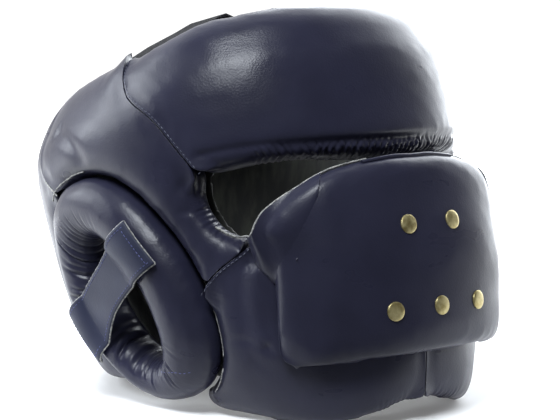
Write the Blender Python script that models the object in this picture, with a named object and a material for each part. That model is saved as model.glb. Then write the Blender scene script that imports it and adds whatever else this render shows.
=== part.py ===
"""Full face head guard: a padded leather guard for the whole head, with a face bar.

The pads are thick panels laid side by side on one common form, a leaned-back head shape
made of superellipse sections. Every place on it is an arc length round the head, a height
above the chin line and an offset along the form's normal, so panels that share a seam
never cross. The guard stands on its jaw corners and on the bottom of its back pads.

Metres, +Z up, the face looks to -Y, the wearer's left is +X. The origin is the middle of
the bounding box's bottom.
"""
import math

import bmesh
import bpy
import numpy as np
from mathutils import Matrix, Vector
from mathutils.geometry import delaunay_2d_cdt

MM = 0.001

# The head's room inside the pads, and the pads round it
HEAD_HALF_WIDTH = 89 * MM
HEAD_FRONT = 99 * MM
HEAD_BACK = 97 * MM
PAD_THICKNESS = 27 * MM
GUARD_HEIGHT = 206 * MM
CROWN_RIM = 1.03 * GUARD_HEIGHT
CROWN_DIP = 36 * MM
LEAN_BACK = math.radians(10)
FLOOR_SINK = 1.5 * MM
SECTION_POWER = 2.2
ARC_SHARE = 0.558
CROWN_DIP_START = 0.53

# Clearances between pieces, and the mesh spacing
SEAM_GAP = 0.7 * MM
LAYER_GAP = 0.8 * MM
LINING_GAP = 1.2 * MM
EDGE_SPACING = 11 * MM
FACE_SPACING = 15 * MM
BACK_SPACING = 18 * MM

# Pad edges: how far in the faces start to roll, and how much of the thickness they lose
RIM_ROLL = 14 * MM
SEAM_ROLL = 6 * MM
RIM_DROP = 0.36
RIM_TUCK = 0.28
SEAM_DROP = 0.08

# Face bar and its rivets
BAR_THICKNESS = 19 * MM
BAR_FOOT_THICKNESS = 12 * MM
BAR_FOOT_HEIGHT = 42 * MM
BAR_HALF_WIDTH = 86 * MM
BAR_BOTTOM = 17 * MM
BAR_HEIGHT = 103 * MM
BAR_EDGE_ROLL = 0.6
BAR_EDGE_DROP = 0.45
BAR_EDGE_TUCK = 0.15
RIVET_RADIUS = 5 * MM
RIVET_RISE = 1.6 * MM
RIVET_SEAT = 0.35 * MM
RIVET_LOWER_HEIGHT = 39 * MM
RIVET_UPPER_HEIGHT = 82.5 * MM
RIVET_LOWER_PITCH = 30 * MM
RIVET_UPPER_PITCH = 32 * MM

# Ear ring: a padded loop on a leaning oval, with an oval hole
RING_HALF_LENGTH = 69 * MM
RING_HALF_WIDTH = 50 * MM
RING_TILT = math.radians(30)
RING_HEIGHT = 67.5 * MM
RING_FORWARD = 7 * MM
RING_DEPTH = 31 * MM
RING_PROUD = 8 * MM
HOLE_HALF_LENGTH = 38 * MM
HOLE_HALF_WIDTH = 19 * MM
HOLE_TILT = math.radians(20)
HOLE_HEIGHT = 60 * MM
HOLE_FORWARD = 5 * MM

# Thin pieces
LINING_THICKNESS = 4 * MM
LINING_TOP = 0.86
LINING_INSET = 5 * MM
EYE_INSET = 2 * MM
HOLE_INSET = 3 * MM
STRAP_THICKNESS = 2.5 * MM
CROWN_STRAP_WIDTH = 44 * MM
CROWN_STRAP_BACK = 30 * MM
CROWN_STRAP_RISE = 12 * MM
CROWN_ANCHOR = 0.905
CLOSURE_WIDTH = 44 * MM
CLOSURE_HEIGHT = 95 * MM
CLOSURE_REACH = 92 * MM
BACK_OPENING = 9 * MM
CHIN_STRAP_REACH = 78 * MM
CHIN_STRAP_WIDTH = 34 * MM
CHIN_STRAP_DROP = 8 * MM
CHIN_STRAP_LIFT = 7 * MM
CHIN_STRAP_GAP = 1.8 * MM

# Sections of the form. Lengths are shares of GUARD_HEIGHT, of the outer half width,
# of the outer reach to the front and to the back, and of PAD_THICKNESS. Power is how
# square the front of the section is
FORM = (
    # height, width, front, back, thickness, power
    (-0.10, 0.620, 0.950, 0.660, 0.62, 2.90),
    (-0.04, 0.638, 0.985, 0.677, 0.66, 2.90),
    (0.097, 0.793, 1.026, 0.806, 0.86, 2.45),
    (0.243, 0.888, 1.008, 0.903, 0.95, 2.25),
    (0.413, 0.948, 0.984, 0.968, 0.98, 2.20),
    (0.558, 0.983, 0.960, 1.000, 0.98, 2.20),
    (0.704, 1.000, 0.944, 1.020, 1.00, 2.20),
    (0.835, 0.985, 0.917, 0.990, 0.96, 2.20),
    (0.932, 0.915, 0.868, 0.920, 0.82, 2.20),
    (1.000, 0.810, 0.788, 0.815, 0.64, 2.20),
    (1.070, 0.640, 0.640, 0.640, 0.50, 2.20),
)

# How much of CROWN_DIP the crown rim has lost, by the angle from the front
CROWN_FALL = (
    # angle in degrees, share
    (0, 0.00),
    (30, 0.02),
    (50, 0.14),
    (74, 0.46),
    (110, 0.76),
    (180, 1.00),
)

# Outlines of the pads: the angle from the front in degrees, the height as a share of
# GUARD_HEIGHT. Each runs away from the first piece that it is named after
BROW_EDGE = ((0, 0.592), (26, 0.604), (40, 0.598), (54, 0.584))
FOREHEAD_SEAM = ((54, 0.584), (59, 0.670), (65, 0.777), (74, 0.890), (81, 1.030))
BACK_SEAM = ((112, 1.030), (114, 0.825), (112.5, 0.700))
CHEEK_SEAM = ((55, 0.345), (46, 0.392), (44, 0.422))
EYE_EDGE = ((44, 0.422), (49, 0.424), (54, 0.453), (56.5, 0.515), (56, 0.555), (54, 0.584))
JAW_TOP_EDGE = ((44, 0.422), (37, 0.330), (30, 0.245), (15, 0.194), (0, 0.178))
JAW_BOTTOM_EDGE = ((0, -0.039), (24, -0.073), (43, -0.081), (66, -0.043), (77, -0.026))
BACK_BOTTOM_EDGE = ((96, 0.052), (120, 0.058), (150, 0.064), (180, 0.068))

# Where the pads' edges meet the ear ring, as angles round its oval: 0 is its upper end,
# 90 its front, 180 its lower end
RING_AT_BACK_SEAM = -8
RING_AT_CHEEK_SEAM = 119
RING_AT_JAW_END = 196
RING_AT_BACK_END = 236

# The face bar's upper outline, as shares of BAR_HALF_WIDTH and of BAR_HEIGHT
BAR_TOP_EDGE = (
    # across, up
    (0.88, 0.00),
    (0.94, 0.025),
    (0.965, 0.08),
    (0.98, 0.20),
    (0.99, 0.45),
    (1.00, 0.68),
    (0.97, 0.74),
    (0.92, 0.80),
    (0.78, 0.875),
    (0.55, 0.960),
    (0.20, 1.000),
    (0.00, 1.000),
)

# The ear strap, from its front end to its rear end: along is a share of
# RING_HALF_WIDTH from the hole's middle, width a share of HOLE_HALF_WIDTH
EAR_STRAP = (
    # along, up, half width
    (-0.71, 0.63, 0.72),
    (-0.52, 0.52, 0.70),
    (-0.32, 0.39, 0.64),
    (-0.12, 0.25, 0.60),
    (0.12, 0.09, 0.62),
    (0.36, -0.09, 0.70),
    (0.54, -0.22, 0.78),
    (0.68, -0.32, 0.80),
)
EAR_STRAP_LIFT = 1.2 * MM
EAR_STRAP_SAG = 5 * MM

# The crown straps' climb from the pads to the crest
CROSS_STRAP_RISE = (
    # share of the way, share of the rise
    (0.00, 0.00),
    (0.05, 0.24),
    (0.12, 0.46),
    (0.36, 0.66),
    (0.60, 0.80),
    (0.85, 0.92),
    (1.00, 1.00),
)
LONG_STRAP_RISE = (
    # share of the way, share of the rise
    (0.00, 0.00),
    (0.15, 0.29),
    (0.35, 0.58),
    (0.60, 0.84),
    (0.80, 0.96),
    (1.00, 1.00),
)
CROWN_RIDGE_FALL = 0.34

OUTER_HALF_WIDTH = HEAD_HALF_WIDTH + PAD_THICKNESS
OUTER_FRONT = HEAD_FRONT + PAD_THICKNESS
OUTER_BACK = HEAD_BACK + PAD_THICKNESS
WEARER_SIDES = (("left", 1), ("right", -1))


def section(height):
    """Half width, front, back, pad thickness and front power of the form at a height."""
    share = height / GUARD_HEIGHT
    last = len(FORM) - 2
    share = min(max(share, FORM[0][0]), FORM[-1][0])
    row = next((i for i in range(last + 1) if share <= FORM[i + 1][0]), last)
    step = FORM[row + 1][0] - FORM[row][0]
    t = (share - FORM[row][0]) / step
    values = []
    for column in range(1, 6):
        values.append(hermite(row, column, t, step))
    scales = (OUTER_HALF_WIDTH, OUTER_FRONT, OUTER_BACK, PAD_THICKNESS, 1)
    return [value * scale for value, scale in zip(values, scales)]


def form_slope(row, column):
    low = FORM[max(row - 1, 0)]
    high = FORM[min(row + 1, len(FORM) - 1)]
    return (high[column] - low[column]) / (high[0] - low[0])


def hermite(row, column, t, step):
    """Cubic through the form's rows, so the sections blend without a crease."""
    start = FORM[row][column]
    end = FORM[row + 1][column]
    leave = form_slope(row, column) * step
    arrive = form_slope(row + 1, column) * step
    keep = 2 * t ** 3 - 3 * t ** 2
    return (start * (keep + 1) - end * keep
            + leave * (t ** 3 - 2 * t ** 2 + t) + arrive * (t ** 3 - t ** 2))


def crown_drop(angle, height):
    """How far the form is lowered towards the back of the crown."""
    turned = abs((math.degrees(angle) + 180) % 360 - 180)
    fall = np.interp(turned, [row[0] for row in CROWN_FALL], [row[1] for row in CROWN_FALL])
    rise = (height / GUARD_HEIGHT - CROWN_DIP_START) / (1 - CROWN_DIP_START)
    rise = min(max(rise, 0), 1.1)
    return CROWN_DIP * float(fall) * rise * rise * (3 - 2 * min(rise, 1))


def signed_power(value):
    return math.copysign(abs(value) ** (2 / SECTION_POWER), value)


def form_point(angle, height):
    """The form's point at an angle from the front: a superellipse, squarer at the jaw."""
    half_width, front, back, _, power = section(height)
    ahead = math.cos(angle) > 0
    across = signed_power(math.sin(angle))
    along = signed_power(math.cos(angle))
    full = 1.0
    if ahead:
        full = (abs(across) ** power + abs(along) ** power) ** (-1 / power)
    reach = front if ahead else back
    return Vector((half_width * across * full, -reach * along * full,
                   height - crown_drop(angle, height)))


def arc_table():
    """Arc length round the form at mid height, for every half degree to the back."""
    angles = [math.radians(i / 2) for i in range(361)]
    lengths = [0.0]
    mid = ARC_SHARE * GUARD_HEIGHT
    for before, after in zip(angles, angles[1:]):
        lengths.append(lengths[-1] + (form_point(after, mid) - form_point(before, mid)).length)
    return angles, lengths


ARC_ANGLES, ARC_LENGTHS = arc_table()
HALF_ROUND = ARC_LENGTHS[-1]


def arc_at(degrees):
    length = np.interp(math.radians(abs(degrees)), ARC_ANGLES, ARC_LENGTHS)
    return math.copysign(float(length), degrees)


SIDE_ARC = arc_at(90)


def angle_at(arc):
    """The angle for an arc length, also past the back of the head."""
    length = abs(arc)
    if length > HALF_ROUND:
        turned = 2 * math.pi - float(np.interp(2 * HALF_ROUND - length, ARC_LENGTHS, ARC_ANGLES))
    else:
        turned = float(np.interp(length, ARC_LENGTHS, ARC_ANGLES))
    return math.copysign(turned, arc)


def surface(arc, height):
    return form_point(angle_at(arc), height)


def place(arc, height, offset):
    """The point at an arc length, a height and an offset along the form's normal."""
    step = 0.5 * MM
    along = surface(arc + step, height) - surface(arc - step, height)
    up = surface(arc, height + step) - surface(arc, height - step)
    return surface(arc, height) + along.cross(up).normalized() * offset


def pad_thickness(height):
    return section(height)[3]


def arc_for_x(across, height, offset):
    """The arc length at which a layer over the form reaches a given X."""
    low = 0.0
    high = SIDE_ARC
    for _ in range(40):
        middle = (low + high) / 2
        if place(middle, height, offset).x < abs(across):
            low = middle
        else:
            high = middle
    return math.copysign(low, across)


def on_pads(rows):
    """Outline rows of angle and height share as arc lengths and heights."""
    return [(arc_at(angle), share * GUARD_HEIGHT) for angle, share in rows]


def oval(degrees, half_length, half_width, tilt, height, forward):
    """A point on a leaning oval at the side of the head."""
    turn = math.radians(degrees)
    long = half_length * math.cos(turn)
    wide = half_width * math.sin(turn)
    return (SIDE_ARC - forward + long * math.sin(tilt) - wide * math.cos(tilt),
            height + long * math.cos(tilt) + wide * math.sin(tilt))


def ring_oval(degrees, grow=0.0):
    return oval(degrees, RING_HALF_LENGTH + grow, RING_HALF_WIDTH + grow, RING_TILT,
                RING_HEIGHT, RING_FORWARD)


def hole_oval(degrees, grow=0.0):
    return oval(degrees, HOLE_HALF_LENGTH + grow, HOLE_HALF_WIDTH + grow, HOLE_TILT,
                HOLE_HEIGHT, HOLE_FORWARD)


def ring_edge(first, last):
    """The pads' edge along the ear ring, a seam gap outside it."""
    count = max(2, round(abs(last - first) / 14))
    return [ring_oval(first + (last - first) * i / count, SEAM_GAP) for i in range(count + 1)]


def smooth_line(points, spacing):
    """A smooth line through points, sampled evenly about a spacing apart."""
    if len(points) == 2:
        fine = [np.array(points[0]), np.array(points[1])]
    else:
        grid = [np.array(point) for point in points]
        grid = [2 * grid[0] - grid[1]] + grid + [2 * grid[-1] - grid[-2]]
        fine = []
        for a, b, c, d in zip(grid, grid[1:], grid[2:], grid[3:]):
            for i in range(12):
                t = i / 12
                fine.append(0.5 * (2 * b + (c - a) * t + (2 * a - 5 * b + 4 * c - d) * t * t
                                   + (3 * b - a - 3 * c + d) * t ** 3))
        fine.append(np.array(points[-1]))
    steps = [float(np.linalg.norm(after - before)) for before, after in zip(fine, fine[1:])]
    lengths = np.concatenate(([0.0], np.cumsum(steps)))
    count = max(1, round(lengths[-1] / spacing))
    wanted = np.linspace(0, lengths[-1], count + 1)
    arcs = np.interp(wanted, lengths, [point[0] for point in fine])
    heights = np.interp(wanted, lengths, [point[1] for point in fine])
    return list(zip(arcs.tolist(), heights.tolist()))


def mirrored(points):
    return [(-arc, height) for arc, height in points]


def outline_loop(sides, spacing):
    """Sample an outline's sides into one loop, with the kind of edge at each sample."""
    loop = []
    kinds = []
    for kind, points in sides:
        line = smooth_line(points, spacing)
        loop += line[:-1]
        kinds += [kind] * (len(line) - 1)
    area = sum(a[0] * b[1] - b[0] * a[1] for a, b in zip(loop, loop[1:] + loop[:1]))
    if area < 0:
        loop = loop[::-1]
        kinds = kinds[-2::-1] + kinds[-1:]
    return loop, kinds


def inward(loop, index):
    before = np.array(loop[index - 1])
    after = np.array(loop[(index + 1) % len(loop)])
    along = after - before
    along = along / np.linalg.norm(along)
    return np.array((-along[1], along[0]))


def pull_in(loop, kinds):
    """Draw the seams in by half the gap, so that two pads leave it between them."""
    moved = []
    for i, point in enumerate(loop):
        at_seam = "seam" in (kinds[i], kinds[i - 1])
        shift = SEAM_GAP / 2 if at_seam else 0.0
        moved.append(tuple(np.array(point) + inward(loop, i) * shift))
    return moved


class Outline:
    """Closed loops in arc and height, that can say how far a point is from each kind."""

    def __init__(self, loops, kinds):
        self.loops = loops
        self.starts = np.array([point for loop in loops for point in loop])
        self.ends = np.array([point for loop in loops for point in loop[1:] + loop[:1]])
        self.is_seam = np.array([kind == "seam" for group in kinds for kind in group])

    def distances(self, point):
        """Distances to the nearest rim and to the nearest seam."""
        run = self.ends - self.starts
        offset = np.array(point) - self.starts
        share = np.clip((offset * run).sum(1) / (run * run).sum(1), 0, 1)
        gaps = np.linalg.norm(offset - run * share[:, None], axis=1)
        far = 1.0
        rims = gaps[~self.is_seam]
        seams = gaps[self.is_seam]
        return (rims.min() if len(rims) else far), (seams.min() if len(seams) else far)

    def holds(self, point):
        low = np.minimum(self.starts[:, 1], self.ends[:, 1])
        high = np.maximum(self.starts[:, 1], self.ends[:, 1])
        spans = (low <= point[1]) & (high > point[1])
        run = self.ends[spans] - self.starts[spans]
        share = (point[1] - self.starts[spans][:, 1]) / run[:, 1]
        crossings = self.starts[spans][:, 0] + run[:, 0] * share > point[0]
        return int(crossings.sum()) % 2 == 1


def triangulate(outline, rings, spacing):
    """Points and triangles that fill an outline, with rows of points along its edges."""
    points = [point for loop in outline.loops for point in loop]
    edges = []
    first = 0
    for loop in outline.loops:
        edges += [(first + i, first + (i + 1) % len(loop)) for i in range(len(loop))]
        first += len(loop)
    fixed = len(points)
    for depth in rings:
        for loop in outline.loops:
            for i in range(len(loop)):
                spot = tuple(np.array(loop[i]) + inward(loop, i) * depth)
                if outline.holds(spot) and min(outline.distances(spot)) > 0.93 * depth:
                    points.append(spot)
    low = outline.starts.min(0)
    high = outline.starts.max(0)
    clear = (rings[-1] if rings else 0.0) + 0.55 * spacing
    for number, height in enumerate(np.arange(low[1] + spacing / 2, high[1], spacing * 0.87)):
        shift = spacing * (0.5 + 0.5 * (number % 2))
        for arc in np.arange(low[0] + shift, high[0], spacing):
            if outline.holds((arc, height)) and min(outline.distances((arc, height))) > clear:
                points.append((float(arc), float(height)))
    found = delaunay_2d_cdt([Vector(point) for point in points], edges, [], 0, 1e-9)
    spots = [tuple(vertex) for vertex in found[0]]
    order = {}
    for new, olds in enumerate(found[3]):
        for old in olds:
            order[old] = new
    faces = []
    for face in found[2]:
        middle = np.mean([spots[i] for i in face], axis=0)
        if outline.holds(middle):
            faces.append(tuple(face))
    border = [order[i] for i in range(fixed)]
    return spots, faces, border


def rolled(distance, width, drop):
    """A round edge: the full drop at the outline, none past the roll's width."""
    if distance >= width:
        return 0.0
    return drop * (1 - math.sqrt(1 - (1 - distance / width) ** 2))


def slab(outline, outer, inner, rim_roll, rim_drop, rim_tuck, seam_drop, spacings):
    """A closed solid between two offsets of the form, with rolled edges."""
    bm = bmesh.new()
    borders = []
    ring_sets = ((0.2 * rim_roll, 0.5 * rim_roll, rim_roll), (0.6 * rim_roll,))
    if not rim_drop:
        ring_sets = ((), ())
    for face_index, (rings, spacing) in enumerate(zip(ring_sets, spacings)):
        spots, faces, border = triangulate(outline, rings, spacing)
        corners = []
        for spot in spots:
            rim, seam = outline.distances(spot)
            top = outer(spot)
            bottom = inner(spot)
            thick = top - bottom
            if face_index == 0:
                drop = max(rolled(rim, rim_roll, rim_drop * thick),
                           rolled(seam, SEAM_ROLL, seam_drop * thick))
                corners.append(bm.verts.new(place(spot[0], spot[1], top - drop)))
            else:
                tuck = rolled(rim, rim_roll, rim_tuck * thick)
                corners.append(bm.verts.new(place(spot[0], spot[1], bottom + tuck)))
        for face in faces:
            bm.faces.new([corners[i] for i in face])
        borders.append([corners[i] for i in border])
    first = 0
    for loop in outline.loops:
        count = len(loop)
        for i in range(count):
            a = first + i
            b = first + (i + 1) % count
            bm.faces.new((borders[0][a], borders[0][b], borders[1][b], borders[1][a]))
        first += count
    return bm


def sheet_solid(grid, thickness, bm=None):
    """A closed solid of one thickness over a grid of points, above it."""
    bm = bm or bmesh.new()
    rows = len(grid)
    columns = len(grid[0])
    below = [[bm.verts.new(point) for point in row] for row in grid]
    above = []
    for r in range(rows):
        line = []
        for c in range(columns):
            along = grid[min(r + 1, rows - 1)][c] - grid[max(r - 1, 0)][c]
            across = grid[r][min(c + 1, columns - 1)] - grid[r][max(c - 1, 0)]
            line.append(bm.verts.new(grid[r][c] + along.cross(across).normalized() * thickness))
        above.append(line)
    for r in range(rows - 1):
        for c in range(columns - 1):
            for layer in (below, above):
                bm.faces.new((layer[r][c], layer[r + 1][c], layer[r + 1][c + 1], layer[r][c + 1]))
    for r in range(rows - 1):
        for c in (0, columns - 1):
            bm.faces.new((below[r][c], below[r + 1][c], above[r + 1][c], above[r][c]))
    for c in range(columns - 1):
        for r in (0, rows - 1):
            bm.faces.new((below[r][c], below[r][c + 1], above[r][c + 1], above[r][c]))
    return bm


def material(name, colour, roughness, metallic=0.0):
    made = bpy.data.materials.new(name)
    made.use_nodes = True
    shader = made.node_tree.nodes["Principled BSDF"]
    shader.inputs["Base Color"].default_value = (*colour, 1)
    shader.inputs["Roughness"].default_value = roughness
    shader.inputs["Metallic"].default_value = metallic
    return made


def floor_cut(bm, head_frame):
    """Flatten what reaches below the floor, which is Z = 0 in the world."""
    turn = head_frame.matrix_world.inverted()
    bmesh.ops.bisect_plane(bm, geom=bm.verts[:] + bm.edges[:] + bm.faces[:], dist=1e-6,
                           plane_co=turn @ Vector((0, 0, 0)),
                           plane_no=turn.to_3x3() @ Vector((0, 0, -1)), clear_outer=True)
    open_edges = [edge for edge in bm.edges if edge.is_boundary]
    bmesh.ops.contextual_create(bm, geom=open_edges)


def add_piece(name, bm, finish, head_frame, flatten=False, smooth_angle=40):
    """Close the mesh's normals, put it under the head frame and give it its finish."""
    if flatten:
        floor_cut(bm, head_frame)
    bmesh.ops.triangulate(bm, faces=bm.faces[:])
    bmesh.ops.recalc_face_normals(bm, faces=bm.faces[:])
    mesh = bpy.data.meshes.new(name)
    bm.to_mesh(mesh)
    bm.free()
    mesh.shade_smooth()
    mesh.set_sharp_from_angle(angle=math.radians(smooth_angle))
    mesh.materials.append(finish)
    piece = bpy.data.objects.new(name, mesh)
    bpy.context.collection.objects.link(piece)
    piece.parent = head_frame
    return piece


def pad(name, sides, finish, head_frame):
    """A padded panel between the form and the head's room."""
    loop, kinds = outline_loop(sides, EDGE_SPACING)
    outline = Outline([pull_in(loop, kinds)], [kinds])
    bm = slab(outline, lambda spot: 0.0, lambda spot: -pad_thickness(spot[1]),
              RIM_ROLL, RIM_DROP, RIM_TUCK, SEAM_DROP, (FACE_SPACING, BACK_SPACING))
    return add_piece(name, bm, finish, head_frame, flatten=True)


def forehead_sides():
    brow = on_pads(BROW_EDGE)
    seam = on_pads(FOREHEAD_SEAM)
    top = [seam[-1], (0.0, CROWN_RIM), mirrored(seam)[-1]]
    return [("rim", mirrored(brow)[::-1] + brow[1:]), ("seam", seam), ("rim", top),
            ("seam", mirrored(seam)[::-1])]


def temple_sides(side):
    back_seam = on_pads(BACK_SEAM) + [ring_oval(RING_AT_BACK_SEAM, SEAM_GAP)]
    ring = ring_edge(RING_AT_BACK_SEAM, RING_AT_CHEEK_SEAM)
    cheek = [ring[-1]] + on_pads(CHEEK_SEAM)
    front = on_pads(FOREHEAD_SEAM)
    middle = (arc_at((FOREHEAD_SEAM[-1][0] + BACK_SEAM[0][0]) / 2), CROWN_RIM)
    sides = [("seam", front), ("rim", [front[-1], middle, back_seam[0]]), ("seam", back_seam),
             ("rim", ring), ("seam", cheek), ("rim", on_pads(EYE_EDGE))]
    return sides if side > 0 else [(kind, mirrored(points)) for kind, points in sides]


def jaw_sides(side):
    ring = ring_edge(RING_AT_CHEEK_SEAM, RING_AT_JAW_END)
    cheek = [ring[0]] + on_pads(CHEEK_SEAM)
    bottom = on_pads(JAW_BOTTOM_EDGE)
    top = on_pads(JAW_TOP_EDGE)
    sides = [("seam", cheek), ("rim", top), ("seam", [top[-1], bottom[0]]), ("rim", bottom),
             ("rim", [bottom[-1], ring[-1]]), ("rim", ring[::-1])]
    return sides if side > 0 else [(kind, mirrored(points)) for kind, points in sides]


def back_sides(side):
    back_seam = on_pads(BACK_SEAM) + [ring_oval(RING_AT_BACK_SEAM, SEAM_GAP)]
    ring = ring_edge(RING_AT_BACK_SEAM, RING_AT_BACK_END - 360)
    bottom = on_pads(BACK_BOTTOM_EDGE)
    split = HALF_ROUND - BACK_OPENING / 2
    bottom[-1] = (split, bottom[-1][1])
    top = [(split, CROWN_RIM), (arc_at(146), CROWN_RIM), back_seam[0]]
    sides = [("seam", back_seam), ("rim", ring), ("rim", [ring[-1], bottom[0]]),
             ("rim", bottom), ("rim", [bottom[-1], top[0]]), ("rim", top)]
    return sides if side > 0 else [(kind, mirrored(points)) for kind, points in sides]


def bar_face(height):
    """Offset of the bar's front: the jaw pads behind it push its foot thinner."""
    share = min(max((height - BAR_BOTTOM) / BAR_FOOT_HEIGHT, 0), 1)
    return LAYER_GAP + BAR_FOOT_THICKNESS + (BAR_THICKNESS - BAR_FOOT_THICKNESS) * share


def bar_arc(across, height):
    return arc_for_x(across, height, bar_face(height))


def face_bar(finish, head_frame):
    """The thick bar over nose and mouth, laid on the jaw pads."""
    half = []
    for across, up in BAR_TOP_EDGE:
        height = BAR_BOTTOM + up * BAR_HEIGHT
        half.append((bar_arc(across * BAR_HALF_WIDTH, height), height))
    upper = half + mirrored(half)[::-1][1:]
    bottom = [upper[-1], (0.0, BAR_BOTTOM), upper[0]]
    loop, kinds = outline_loop([("rim", upper), ("rim", bottom)], EDGE_SPACING)
    bm = slab(Outline([loop], [kinds]), lambda spot: bar_face(spot[1]),
              lambda spot: LAYER_GAP, BAR_EDGE_ROLL * BAR_THICKNESS, BAR_EDGE_DROP,
              BAR_EDGE_TUCK, 0.0, (FACE_SPACING, FACE_SPACING))
    return add_piece("face_bar", bm, finish, head_frame)


def rivet(name, across, height, finish, head_frame):
    """A domed rivet head on the bar's face."""
    arc = bar_arc(across, height) if across else 0.0
    along = (place(arc + RIVET_RADIUS, height, bar_face(height))
             - place(arc - RIVET_RADIUS, height, bar_face(height)))
    above = height + RIVET_RADIUS
    below = height - RIVET_RADIUS
    up = place(arc, above, bar_face(above)) - place(arc, below, bar_face(below))
    axis = along.cross(up).normalized()
    seat = place(arc, height, bar_face(height)) + axis * RIVET_SEAT
    profile = ((0.0, 1.0), (0.55, 0.86), (0.85, 0.50), (1.0, 0.0), (0.0, 0.0))
    bm = bmesh.new()
    corners = [bm.verts.new((r * RIVET_RADIUS, 0, z * RIVET_RISE)) for r, z in profile]
    edges = [bm.edges.new(pair) for pair in zip(corners, corners[1:])]
    bmesh.ops.spin(bm, geom=corners + edges, cent=(0, 0, 0), axis=(0, 0, 1),
                   angle=2 * math.pi, steps=12, use_merge=True)
    bmesh.ops.remove_doubles(bm, verts=bm.verts[:], dist=0.01 * MM)
    turn = Vector((0, 0, 1)).rotation_difference(axis).to_matrix().to_4x4()
    bmesh.ops.transform(bm, matrix=Matrix.Translation(seat) @ turn, verts=bm.verts[:])
    return add_piece(name, bm, finish, head_frame)


def ray_to_oval(start, direction, centre, half_length, half_width, tilt):
    """How far from a point inside an oval its edge lies, in a direction."""
    long = np.array((math.sin(tilt), math.cos(tilt)))
    wide = np.array((-math.cos(tilt), math.sin(tilt)))
    gap = np.array(start) - np.array(centre)
    p = np.array((gap @ long / half_length, gap @ wide / half_width))
    d = np.array((direction @ long / half_length, direction @ wide / half_width))
    a, b, c = d @ d, 2 * p @ d, p @ p - 1
    return (-b + math.sqrt(b * b - 4 * a * c)) / (2 * a)


HOLE_CENTRE = (SIDE_ARC - HOLE_FORWARD, HOLE_HEIGHT)
RING_CENTRE = (SIDE_ARC - RING_FORWARD, RING_HEIGHT)


def ring_reach(direction):
    """Distances from the hole's middle to the hole's edge and to the ring's edge."""
    inner = ray_to_oval(HOLE_CENTRE, direction, HOLE_CENTRE, HOLE_HALF_LENGTH, HOLE_HALF_WIDTH,
                        HOLE_TILT)
    outer = ray_to_oval(HOLE_CENTRE, direction, RING_CENTRE, RING_HALF_LENGTH, RING_HALF_WIDTH,
                        RING_TILT)
    return inner, outer


def ear_ring(side, finish, head_frame, name, around=40, across=12):
    """The padded loop round the ear."""
    middle_offset = RING_PROUD - RING_DEPTH / 2
    bm = bmesh.new()
    hoops = []
    for i in range(around):
        edge = hole_oval(360 * i / around)
        direction = np.array(edge) - np.array(HOLE_CENTRE)
        direction = direction / np.linalg.norm(direction)
        inner, outer = ring_reach(direction)
        hoop = []
        for j in range(across):
            turn = 2 * math.pi * j / across
            reach = (inner + outer) / 2 + (outer - inner) / 2 * math.cos(turn)
            offset = middle_offset + RING_DEPTH / 2 * math.sin(turn)
            spot = np.array(HOLE_CENTRE) + direction * reach
            hoop.append(bm.verts.new(place(side * spot[0], spot[1], offset)))
        hoops.append(hoop)
    for hoop, following in zip(hoops, hoops[1:] + hoops[:1]):
        for j in range(across):
            k = (j + 1) % across
            bm.faces.new((hoop[j], hoop[k], following[k], following[j]))
    return add_piece(name, bm, finish, head_frame)


def ring_face(spot):
    """The offset of the ring's outer face at a spot, or of the sagging strap over its hole."""
    gap = np.array(spot) - np.array(HOLE_CENTRE)
    distance = float(np.linalg.norm(gap))
    top = RING_PROUD
    sag = top - EAR_STRAP_SAG
    if distance < 0.1 * MM:
        return sag
    inner, outer = ring_reach(gap / distance)
    share = min(max((2 * distance - outer - inner) / (outer - inner), -1), 1)
    face = top - RING_DEPTH / 2 * (1 - math.sqrt(1 - share * share))
    return max(face, sag) if share < 0 else face


def ear_strap(side, finish, head_frame, name, along=15, across=5):
    """The narrow-waisted strap that crosses the ear ring."""
    centre = np.array(HOLE_CENTRE)
    middle = [(row[0] * RING_HALF_WIDTH, row[1] * RING_HALF_WIDTH) for row in EAR_STRAP]
    widths = [row[2] * HOLE_HALF_WIDTH for row in EAR_STRAP]
    line = smooth_line(middle, RING_HALF_WIDTH * 2 / along)
    shares = np.linspace(0, 1, len(line))
    half_widths = np.interp(shares, np.linspace(0, 1, len(widths)), widths)
    grid = []
    for i, spot in enumerate(line):
        run = np.array(line[min(i + 1, len(line) - 1)]) - np.array(line[max(i - 1, 0)])
        run = run / np.linalg.norm(run)
        normal = np.array((-run[1], run[0]))
        row = []
        for j in range(across + 1):
            sideways = (2 * j / across - 1) * half_widths[i]
            point = centre + np.array(spot) + normal * sideways
            offset = ring_face(point) + EAR_STRAP_LIFT
            row.append(place(side * point[0], point[1], offset))
        grid.append(row if side > 0 else row[::-1])
    return add_piece(name, sheet_solid(grid, STRAP_THICKNESS), finish, head_frame)


def lining_offset(spot):
    return -pad_thickness(spot[1]) - LINING_GAP


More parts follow.
